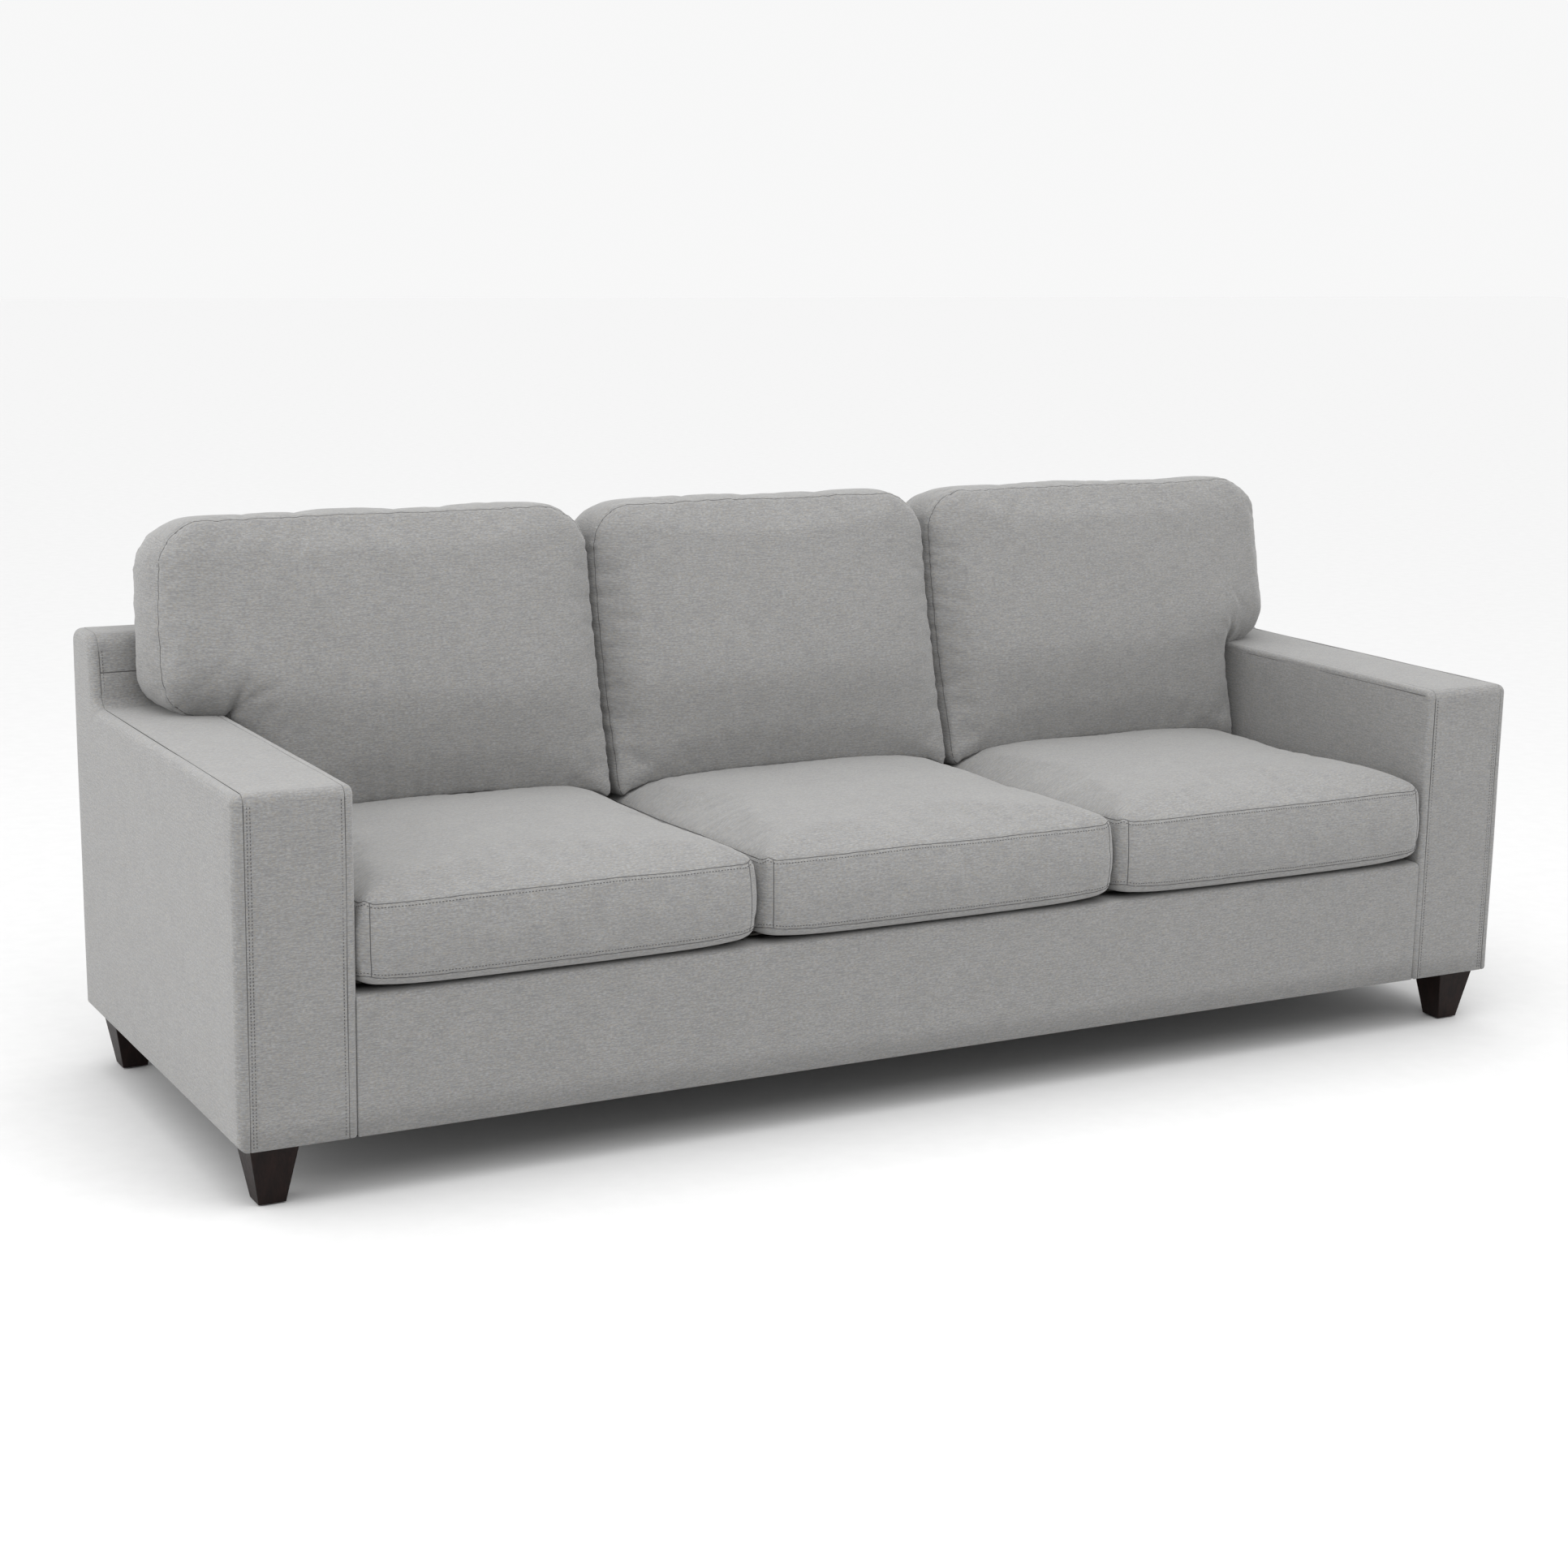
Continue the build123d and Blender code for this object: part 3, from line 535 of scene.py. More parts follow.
def side_corners():
    """The outline of one end of the sofa: the arm and, behind it, the back."""
    return [
        (FRONT_Y, BOTTOM_Z, 0.0),
        (FRONT_Y, ARM_TOP_Z, FRONT_ROUND),
        (inside_y(ARM_TOP_Z), ARM_TOP_Z, HEEL_ROUND),
        (inside_y(BACK_TOP_Z), BACK_TOP_Z, HEAD_ROUND),
        (rear_y(BACK_TOP_Z), BACK_TOP_Z, REAR_ROUND),
        (rear_y(BOTTOM_Z), BOTTOM_Z, 0.0),
    ]


def above_foot(co):
    return co.z > BOTTOM_Z + 4 * MM


class SOFA_OT_arms(bpy.types.Operator):
    """Covers both arms: the outside panel, the band over the front and the top, and the inside"""

    bl_idname = "sofa.arms"
    bl_label = "Arms"

    def execute(self, context):
        for name, side in SIDES.items():
            outer_seam = side * ARM_SEAM_OUT
            inner_seam = side * ARM_SEAM_IN
            self.panels(context.scene.sofa_sizes, name, side, outer_seam, inner_seam)
            self.sewing(name, side, outer_seam, inner_seam)
        return {"FINISHED"}

    @staticmethod
    def panels(sizes, name, side, outer_seam, inner_seam):
        seam = sizes.seam_round
        frame_cover(
            f"outside_arm_cover_{name}",
            [f"outside_arm_{name}"],
            side_corners(),
            (outer_seam, side * ARM_OUT),
            (seam, sizes.edge_round),
            (45 * MM, (1, 2)),
            (0.9 * MM, 0.16, above_foot),
        )
        rear = inside_y(BACK_SEAM_Z)
        depth = 16 * MM
        band_corners = [
            (FRONT_Y, BOTTOM_Z, 0.0),
            (FRONT_Y, ARM_TOP_Z, FRONT_ROUND),
            (inside_y(ARM_TOP_Z), ARM_TOP_Z, HEEL_ROUND),
            (rear, BACK_SEAM_Z, seam),
            (rear + depth, BACK_SEAM_Z, 0.0),
            (inside_y(ARM_TOP_Z) + depth, ARM_TOP_Z - depth, 0.0),
            (FRONT_Y + depth, ARM_TOP_Z - depth, 0.0),
            (FRONT_Y + depth, BOTTOM_Z, 0.0),
        ]
        frame_cover(
            f"arm_band_cover_{name}",
            [f"arm_band_{name}"],
            band_corners,
            (outer_seam, inner_seam),
            (seam, seam),
            (35 * MM,),
            (0.8 * MM, 0.12, above_foot),
        )
        low_z = BOTTOM_Z + 180 * MM
        inner_corners = [
            (FRONT_Y, BOTTOM_Z, 0.0),
            (FRONT_Y, ARM_TOP_Z, FRONT_ROUND),
            (inside_y(ARM_TOP_Z) + 4 * MM, ARM_TOP_Z, 0.0),
            (inside_y(low_z + 20 * MM), low_z, 0.0),
            (FRONT_Y + 20 * MM, low_z, 0.0),
            (FRONT_Y + 20 * MM, BOTTOM_Z, 0.0),
        ]
        frame_cover(
            f"inside_arm_cover_{name}",
            [f"inside_arm_{name}", f"arm_pad_{name}"],
            inner_corners,
            (inner_seam, side * ARM_IN),
            (seam, 7 * MM),
            (45 * MM, (1, 2)),
            (0.8 * MM, 0.14, above_foot),
        )

    @staticmethod
    def sewing(name, side, outer_seam, inner_seam):
        """The topstitching and the seams of one arm."""
        forwards, upwards = (0, -1, 0), (0, 0, 1)
        rise = (0, -math.cos(RAKE), math.sin(RAKE))
        head_z = BACK_TOP_Z - 26 * MM
        lines = []
        low, high = BOTTOM_Z + 4 * MM, ARM_TOP_Z - 16 * MM
        for seam, aside in ((outer_seam, -4.5 * MM), (outer_seam, -9 * MM), (inner_seam, 5 * MM)):
            x = seam + side * aside
            lines.append(straight((x, FRONT_Y, low), (x, FRONT_Y, high), forwards))
        x, low = outer_seam - side * 4.5 * MM, ARM_TOP_Z + 24 * MM
        lines.append(straight((x, inside_y(low), low), (x, inside_y(head_z), head_z), rise))
        stitch_line(f"arm_topstitch_{name}", lines, "frame")
        sunk = 0.5 * MM
        threads = []
        front_y, top_z = FRONT_Y + sunk, ARM_TOP_Z - sunk
        for x in (outer_seam, inner_seam):
            low, high = BOTTOM_Z + 2 * MM, ARM_TOP_Z - 14 * MM
            threads.append(straight((x, front_y, low), (x, front_y, high), forwards))
        x, rear = outer_seam, inside_y(ARM_TOP_Z) - 20 * MM
        threads.append(straight((x, FRONT_Y + 14 * MM, top_z), (x, rear, top_z), upwards))
        low = ARM_TOP_Z + 20 * MM
        threads.append(
            straight((x, inside_y(low) + sunk, low), (x, inside_y(head_z) + sunk, head_z), rise)
        )
        x, z = side * (ARM_IN + 0.1 * MM), ARM_TOP_Z - 10 * MM
        rear = inside_y(ARM_TOP_Z) - 200 * MM
        threads.append(straight((x, FRONT_Y + 12 * MM, z), (x, rear, z), (-side, 0, 0)))
        y, z = inside_y(BACK_SEAM_Z) + 0.2 * MM, BACK_SEAM_Z + 0.2 * MM
        threads.append(straight((inner_seam, y, z), (outer_seam, y, z), rise))
        seam_thread(f"arm_seams_{name}", threads, "frame", radius=0.5 * MM, closed=False)


class SOFA_OT_rail_and_back(bpy.types.Operator):
    """Covers the front rail and the back, inside, on top and outside"""

    bl_idname = "sofa.rail_and_back"
    bl_label = "Front rail and back"

    def execute(self, context):
        seam = context.scene.sofa_sizes.seam_round
        rims = (seam, seam)
        half = ARM_IN - 0.2 * MM
        rail_corners = [
            (FRONT_Y, BOTTOM_Z, 0.0),
            (FRONT_Y, RAIL_TOP_Z, 9 * MM),
            (FRONT_Y + 60 * MM, RAIL_TOP_Z - 0.6 * MM, 0.0),
            (FRONT_Y + 60 * MM, RAIL_TOP_Z - 16 * MM, 0.0),
            (FRONT_Y + 14 * MM, RAIL_TOP_Z - 16 * MM, 0.0),
            (FRONT_Y + 14 * MM, BOTTOM_Z, 0.0),
        ]
        frame_cover(
            "front_rail_upholstery",
            ["front_rail_cover", "front_edge_roll"],
            rail_corners,
            (-half, half),
            rims,
            (40 * MM,),
            (0.9 * MM, 0.15, above_foot),
        )
        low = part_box("inside_back_cover")[0].z
        depth = 14 * MM
        inside_corners = [
            (inside_y(low), low, 0.0),
            (inside_y(BACK_SEAM_Z), BACK_SEAM_Z, seam),
            (inside_y(BACK_SEAM_Z) + depth, BACK_SEAM_Z, 0.0),
            (inside_y(low) + depth, low, 0.0),
        ]
        over_arms = ARM_SEAM_IN - 0.4 * MM
        frame_cover(
            "inside_back_upholstery",
            ["inside_back_cover", "back_pad"],
            inside_corners,
            (-over_arms, over_arms),
            rims,
            (50 * MM,),
            (1.2 * MM, 0.15),
        )
        rear_seam_z = BACK_SEAM_Z - 12 * MM
        top_corners = [
            (inside_y(BACK_SEAM_Z), BACK_SEAM_Z + 0.4 * MM, seam),
            (inside_y(BACK_TOP_Z), BACK_TOP_Z, HEAD_ROUND),
            (rear_y(BACK_TOP_Z), BACK_TOP_Z, REAR_ROUND),
            (rear_y(rear_seam_z), rear_seam_z, seam),
        ]
        frame_cover(
            "back_top_upholstery",
            ["back_top_band"],
            top_corners,
            (-ARM_SEAM_OUT, ARM_SEAM_OUT),
            rims,
            (35 * MM, (0, 1)),
            (1.2 * MM, 0.11),
        )
        outside_corners = [
            (rear_y(BOTTOM_Z), BOTTOM_Z, 0.0),
            (rear_y(BOTTOM_Z) - 8 * MM, BOTTOM_Z, 0.0),
            (rear_y(rear_seam_z) - 8 * MM, rear_seam_z - 0.4 * MM, 0.0),
            (rear_y(rear_seam_z), rear_seam_z - 0.4 * MM, seam),
        ]
        frame_cover(
            "outside_back_upholstery",
            ["outside_back_cover"],
            outside_corners,
            (-ARM_SEAM_OUT, ARM_SEAM_OUT),
            rims,
            (45 * MM, (0, 2)),
            (1.0 * MM, 0.2, above_foot),
        )
        return {"FINISHED"}


# ---- cushions ------------------------------------------------------------------------


class SOFA_OT_deck(bpy.types.Operator):
    """Makes the padded deck under the seat cushions and the dust cover under the frame"""

    bl_idname = "sofa.deck"
    bl_label = "Deck and dust cover"

    def execute(self, context):
        self.deck(context.scene.sofa_sizes.seam_round)
        self.dust_cover()
        return {"FINISHED"}

    @staticmethod
    def deck(seam):
        low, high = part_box("deck_cloth")
        thick = 13 * MM
        corners = [
            (low.y, deck_z(low.y), 3 * MM),
            (high.y, deck_z(high.y), 3 * MM),
            (high.y, deck_z(high.y) - thick, 0.0),
            (low.y, deck_z(low.y) - thick, 0.0),
        ]
        deck = plate(corners, low.x, high.x, seam, seam)
        cut_grid(deck, 30 * MM, (0, 1))
        ripple(deck, 1.2 * MM, 0.10)
        piece = new_piece(
            "deck_upholstery",
            deck,
            "frame",
            "grey_platform_cloth",
            ["deck_cloth", "deck_pad"],
            weave=False,
        )
        lines = []
        for y in (low.y + 90 * MM, low.y + 98 * MM):
            z = deck_z(y) + 0.5 * MM
            lines.append(straight((low.x + 6 * MM, y, z), (high.x - 6 * MM, y, z), (0, 0, 1)))
        stitch_line("deck_stitches", lines, "frame")

    @staticmethod
    def dust_cover():
        """Thin cloth stapled under the frame, with a slight sag, cut out round the legs."""
        low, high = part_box("dust_cover")
        bm = bmesh.new()
        size = high - low
        middle = (low + high) / 2
        place = Matrix.Translation((middle.x, middle.y, low.z + 0.6 * MM))
        scale = Matrix.Diagonal((size.x / 2, size.y / 2, 1.0, 1.0))
        bmesh.ops.create_grid(bm, x_segments=72, y_segments=26, size=1.0, matrix=place @ scale)
        wooden = [n for n in sorted(frame["nodes"]) if n.startswith(("leg_front", "leg_rear"))]
        legs = [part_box(n) for n in wooden]
        room = 1.5 * MM
        for box_low, box_high in legs:
            for axis, normal in ((0, Vector((1, 0, 0))), (1, Vector((0, 1, 0)))):
                for at in (box_low[axis] - room, box_high[axis] + room):
                    cut(bm, normal * at, normal)
        holes = []
        for face in bm.faces:
            spot = face.calc_center_median()
            for box_low, box_high in legs:
                if all(box_low[a] - room < spot[a] < box_high[a] + room for a in (0, 1)):
                    holes.append(face)
        bmesh.ops.delete(bm, geom=holes, context="FACES")
        for v in bm.verts:
            inset = min(v.co.x - low.x, high.x - v.co.x, v.co.y - low.y, high.y - v.co.y)
            sag = smooth(inset, 0.0, 0.3) * 2.5 * MM
            pull = math.sin(v.co.x * 105) * math.sin(v.co.y * 105) * 0.5 * MM
            v.co.z -= sag - pull * math.exp(-inset / (40 * MM)) * smooth(inset, 0.0, 10 * MM)
        area = sum(f.calc_area() for f in bm.faces)
        nodes = ["dust_cover"]
        piece = new_piece(
            "dust_cover_cloth", bm, "frame", "black_cambric", nodes, weave=False
        )
        staples = []
        for y in (low.y + 9 * MM, high.y - 9 * MM):
            start, end = (low.x + 90 * MM, y, low.z), (high.x - 90 * MM, y, low.z)
            staples.append(straight(start, end, (0, 0, -1)))
        staple_row("dust_cover_staples", staples, "frame")


def staple_row(name, lines, body):
    """Flat wire staples every 60 mm along lines of (point, normal)."""
    bm = bmesh.new()
    for line in lines:
        normal = line[0][1]
        for spot, way in spaced([p for p, _ in line], 60 * MM):
            side = normal.cross(way).normalized()
            size = (10 * MM, 1.2 * MM, 0.6 * MM)
            place = placed(spot + normal * 0.3 * MM, way, side, normal, size)
            made = bmesh.ops.create_cube(bm, size=1.0, matrix=place)
            edges = {e for v in made["verts"] for e in v.link_edges}
            bmesh.ops.bevel(bm, geom=list(edges), offset=0.25 * MM, segments=2, affect="EDGES")
    new_piece(name, bm, body, "zinc_plated_steel", weave=False)


def outline_points(corners, spacing=4 * MM):
    """
    The closed line round (x, y, radius) corners, as evenly spaced points. Each radius is
    a round corner, made by a bevel.
    """
    bm = bmesh.new()
    verts = [bm.verts.new((x, y, 0)) for x, y, _ in corners]
    bm.faces.new(verts)
    for vert, (_, _, radius) in zip(verts, corners):
        rounded(bm, [vert], radius, 8)
    bm.faces.ensure_lookup_table()
    ring = [v.co.copy() for v in bm.faces[0].verts]
    bm.free()
    return [p for p, _ in spaced(ring + ring[:1], spacing)]


def block_mesh(name, points, height, voxel):
    """A block of that outline and height, remeshed into even squares."""
    bm = bmesh.new()
    face = bm.faces.new([bm.verts.new((p.x, p.y, 0)) for p in points])
    extrude(bm, [face], (0, 0, height))
    block = object_of(name, bm)
    remesh = block.modifiers.new("remesh", "REMESH")
    remesh.mode = "VOXEL"
    remesh.voxel_size = voxel
    apply_all(block)
    return block


def apply_all(obj):
    """Gives an object the mesh that its modifiers make, and takes them off."""
    graph = bpy.context.evaluated_depsgraph_get()
    mesh = bpy.data.meshes.new_from_object(obj.evaluated_get(graph))
    obj.modifiers.clear()
    old = obj.data
    obj.data = mesh
    bpy.data.meshes.remove(old)


def edge_distance(points):
    """A function that gives the distance from a plan point to the outline."""
    tree = tree_of([(p.x, p.y, 0) for p in points])
    return lambda p: tree.find((p.x, p.y, 0))[2]


def inflate(obj, pins, cap):
    """
    Lets the cloth swell and settle: pressure inside, no gravity, the seams held. No point
    moves further than cap from where it started.
    """
    start = [v.co.copy() for v in obj.data.vertices]
    group = obj.vertex_groups.new(name="seams")
    group.add(pins, 1.0, "REPLACE")
    cloth = obj.modifiers.new("cloth", "CLOTH")
    settings = cloth.settings
    settings.quality = 4
    settings.mass = 0.4
    settings.tension_stiffness = 12
    settings.compression_stiffness = 12
    settings.shear_stiffness = 6
    settings.bending_stiffness = 0.6
    settings.use_pressure = True
    settings.uniform_pressure_force = 4.0
    settings.shrink_min = -0.012
    settings.vertex_group_mass = "seams"
    settings.pin_stiffness = 1.0
    settings.effector_weights.gravity = 0.0
    cloth.collision_settings.use_collision = False
    scene = bpy.context.scene
    for number in range(1, 21):
        scene.frame_set(number)
    apply_all(obj)
    scene.frame_set(1)
    for v, origin in zip(obj.data.vertices, start):
        shift = v.co - origin
        if shift.length > cap:
            v.co = origin + shift.normalized() * cap
    obj.vertex_groups.clear()


def subdivide(obj):
    """Smooths a mesh with one level of subdivision."""
    finer = obj.modifiers.new("subdivision", "SUBSURF")
    finer.levels = 1
    finer.render_levels = 1
    apply_all(obj)


def pucker(obj, seams, depth, reach, wave, groove):
    """
    Draws each seam into the cloth: a groove along it, and small creases across it that
    fade away from it. seams are closed lines of points.
    """
    tree = tree_of([p for seam in seams for p in seam])
    run = []
    for seam in seams:
        along = 0.0
        for i, p in enumerate(seam):
            along += (p - seam[i - 1]).length if i else 0.0
            run.append(along)
    mesh = obj.data
    normals = [v.normal.copy() for v in mesh.vertices]
    for v, normal in zip(mesh.vertices, normals):
        _, index, distance = tree.find(v.co)
        if distance > reach:
            continue
        s = run[index] / wave
        crease = noise.noise(Vector((s, 3.7, 0.2)))
        crease += 0.6 * noise.noise(Vector((s * 2.3, 9.1, 1.3)))
        fade = (1 - distance / reach) ** 1.6
        sink = groove * max(0.0, 1 - distance / (5 * MM)) ** 1.5
        v.co += normal * (depth * crease * fade - sink)


def on_surface(obj, to_sofa, lines, lift=0.0):
    """Lines of points in cushion space laid on an object's surface, as (point, normal)."""
    tree = BVHTree.FromObject(obj, bpy.context.evaluated_depsgraph_get())
    result = []
    for line in lines:
        laid = []
        for p in line:
            spot, normal, _, _ = tree.find_nearest(to_sofa @ p)
            laid.append((spot + normal * lift, normal))
        result.append(laid)
    return result


def seam_thread(name, lines, body, radius=0.8 * MM, closed=True):
    """The dark line of a seam: a thin cord, sunk in its groove, along lines of points."""
    bm = bmesh.new()
    for line in lines:
        rings = []
        count = len(line)
        for i, (p, normal) in enumerate(line):
            last = (i + 1) % count if closed else min(i + 1, count - 1)
            first = i - 1 if closed else max(i - 1, 0)
            way = (line[last][0] - line[first][0]).normalized()
            side = way.cross(normal).normalized()
            ring = []
            for k in range(5):
                angle = 2 * math.pi * k / 5
                out = side * math.cos(angle) + normal * math.sin(angle)
                ring.append(bm.verts.new(p + out * radius))
            rings.append(ring)
        for a, b in zip(rings, rings[1:] + rings[:1] if closed else rings[1:]):
            for k in range(5):
                bm.faces.new((a[k], a[(k + 1) % 5], b[(k + 1) % 5], b[k]))
    new_piece(name, bm, body, "polyester_topstitch_thread", weave=False)


def deck_matrix(x_middle):
    """From cushion space (across, from the nose to the rear, up) to the sofa's."""
    origin = Vector((x_middle, NOSE_Y, deck_z(NOSE_Y) + 1.0 * MM))
    turn = Matrix.Rotation(-DECK_PITCH, 4, "X")
    return Matrix.Translation(origin) @ turn


SEAT_SEAM = 126 * MM
SEAT_INSET = 5 * MM
SEAT_FOOT_SEAM = 15 * MM
SEAT_LENGTH = (SEAT_REAR_Y - NOSE_Y) / math.cos(DECK_PITCH)


def near_edge(distance, reach):
    """Goes from 0 at an edge to 1 well inside it."""
    return 1 - math.exp(-max(distance, 0.0) / reach)


def seat_crown_at(across, depth, half):
    """How high the crown of a seat cushion stands over its seam."""
    steep = near_edge(min(half - abs(across), depth, SEAT_LENGTH - depth), 13 * MM)
    slow = near_edge(half - abs(across), 72 * MM)
    slow *= near_edge(depth, 80 * MM) * near_edge(SEAT_LENGTH - depth, 20 * MM)
    return bpy.context.scene.sofa_sizes.seat_crown * steep * (0.42 + 0.58 * slow)


def clamp(value, low, high):
    return min(max(value, low), high)


class SOFA_OT_seat_cushions(bpy.types.Operator):
    """Makes the seat cushions: boxed, crowned, with topstitched seams"""

    bl_idname = "sofa.seat_cushions"
    bl_label = "Seat cushions"

    def execute(self, context):
        for place in PLACES:
            self.make(context.scene.sofa_sizes, place)
        return {"FINISHED"}

    def make(self, sizes, place):
        low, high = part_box(f"seat_cover_{place}")
        middle = (low.x + high.x) / 2
        full = (high.x - low.x) / 2
        half = full - SEAT_INSET
        length = SEAT_LENGTH
        r = sizes.seat_round
        corners = [(-half, 0, r), (half, 0, r), (half, length, r), (-half, length, r)]
        outline = outline_points(corners)
        to_edge = edge_distance(outline)
        to_sofa = deck_matrix(middle)
        phase = 2.0 + 5.0 * PLACES.index(place)

        def shape(p):
            """Where a point of the plain block goes."""
            e = to_edge(p)
            share = clamp(p.z / SEAT_SEAM, 0.0, 1.0)
            under = clamp(1 - p.z / SEAT_FOOT_SEAM, 0.0, 1.0) ** 2
            lift = 5 * MM * under * math.exp(-e / (12 * MM))
            corner = math.hypot(half - abs(p.x), min(p.y, length - p.y))
            lift += 12 * MM * (1 - share) ** 2 * math.exp(-corner / (45 * MM))
            wander = noise.noise(Vector((p.x * 2.4 + phase, p.y * 2.4, phase)))
            z = p.z + lift + share * seat_crown_at(p.x, p.y, half) * (1 + 0.07 * wander)
            z += share * 2.5 * MM * noise.noise(Vector((p.x * 7 + phase, p.y * 7, 7.0)))
            edge = math.exp(-e / (9 * MM))
            belly = (math.sin(math.pi * share) ** 0.8 * 7.0 * MM - under * 11 * MM) * edge
            sideways = clamp((abs(p.x) - half + r) / r, 0.0, 1.0) * (1 if p.x > 0 else -1)
            rearward = clamp((p.y - length + r) / r, 0.0, 1.0) - clamp((r - p.y) / r, 0.0, 1.0)
            out = Vector((sideways, rearward))
            if out.length > 1:
                out.normalize()
            x = clamp(p.x + out.x * belly, -full - 0.5 * MM, full + 0.5 * MM)
            return Vector((x, p.y + out.y * belly, z))

        block = block_mesh(f"seat_cushion_cover_{place}", outline, SEAT_SEAM, sizes.voxel)
        pins = []
        for v in block.data.vertices:
            share = v.co.z / SEAT_SEAM
            e = to_edge(v.co)
            under_back = v.co.y > length - 140 * MM and share > 0.5
            at_seam = e < 5 * MM and (share > 0.95 or abs(v.co.z - SEAT_FOOT_SEAM) < 5 * MM)
            if at_seam or under_back or v.co.z < 2 * MM:
                pins.append(v.index)
            v.co = shape(v.co)
        inflate(block, pins, 7 * MM)
        for v in block.data.vertices:
            v.co.x = clamp(v.co.x, -full - 0.7 * MM, full + 0.7 * MM)
        subdivide(block)
        levels = (SEAT_SEAM, SEAT_FOOT_SEAM)
        seams = [[shape(Vector((p.x, p.y, z))) for p in outline] for z in levels]
        front = [p for p in outline if p.y < r]
        heights = [SEAT_FOOT_SEAM + (SEAT_SEAM - SEAT_FOOT_SEAM) * i / 24 for i in range(25)]
        corners = []
        for side in (-1, 1):
            foot = min(front, key=lambda p: abs(p.x - side * (half - 11 * MM)) + p.y)
            corners.append([shape(Vector((foot.x, foot.y, z))) for z in heights])
        pucker(block, seams, 1.2 * MM, 30 * MM, 14 * MM, 1.8 * MM)
        pucker(block, corners, 0.5 * MM, 16 * MM, 14 * MM, 1.2 * MM)
        body = f"seat_cushion_{place}"
        block.data.transform(to_sofa)
        nodes = [f"seat_cover_{place}", f"seat_core_{place}"]
        dress(block, "woven_linen_blend", body, nodes)
        laid = on_surface(block, to_sofa, seams, -0.3 * MM)
        upright = on_surface(block, to_sofa, corners, -0.3 * MM)
        seam_thread(f"seat_seams_{place}", laid, body)
        seam_thread(f"seat_corner_seams_{place}", upright, body, closed=False)
        rows = []
        for height in (SEAT_SEAM - 6 * MM, SEAT_FOOT_SEAM + 6 * MM):
            rows.append([shape(Vector((p.x, p.y, height))) for p in outline])
        stitch_line(f"seat_topstitch_{place}", on_surface(block, to_sofa, rows, 0.15 * MM), body)
        rear = [p for p in outline if p.y > length - 1 * MM and abs(p.x) < 0.8 * half]
        rear.sort(key=lambda p: p.x)
        track = [shape(Vector((p.x, p.y, 0.5 * SEAT_SEAM))) for p in rear]
        zip_fastener(f"seat_zip_{place}", on_surface(block, to_sofa, [track])[0], body)


BACK_FOOT_Z = 0.400


def rake_matrix():
    """From cushion space (across, up the back, forwards) to the sofa's."""
    origin = Vector((0, inside_y(BACK_FOOT_Z) - 1.0 * MM, BACK_FOOT_Z))
    up = Vector((0, math.sin(RAKE), math.cos(RAKE)))
    forward = Vector((0, -math.cos(RAKE), math.sin(RAKE)))
    return placed(origin, Vector((1, 0, 0)), up, forward)


def smooth(value, low, high):
    t = clamp((value - low) / (high - low), 0.0, 1.0)
    return t * t * (3 - 2 * t)


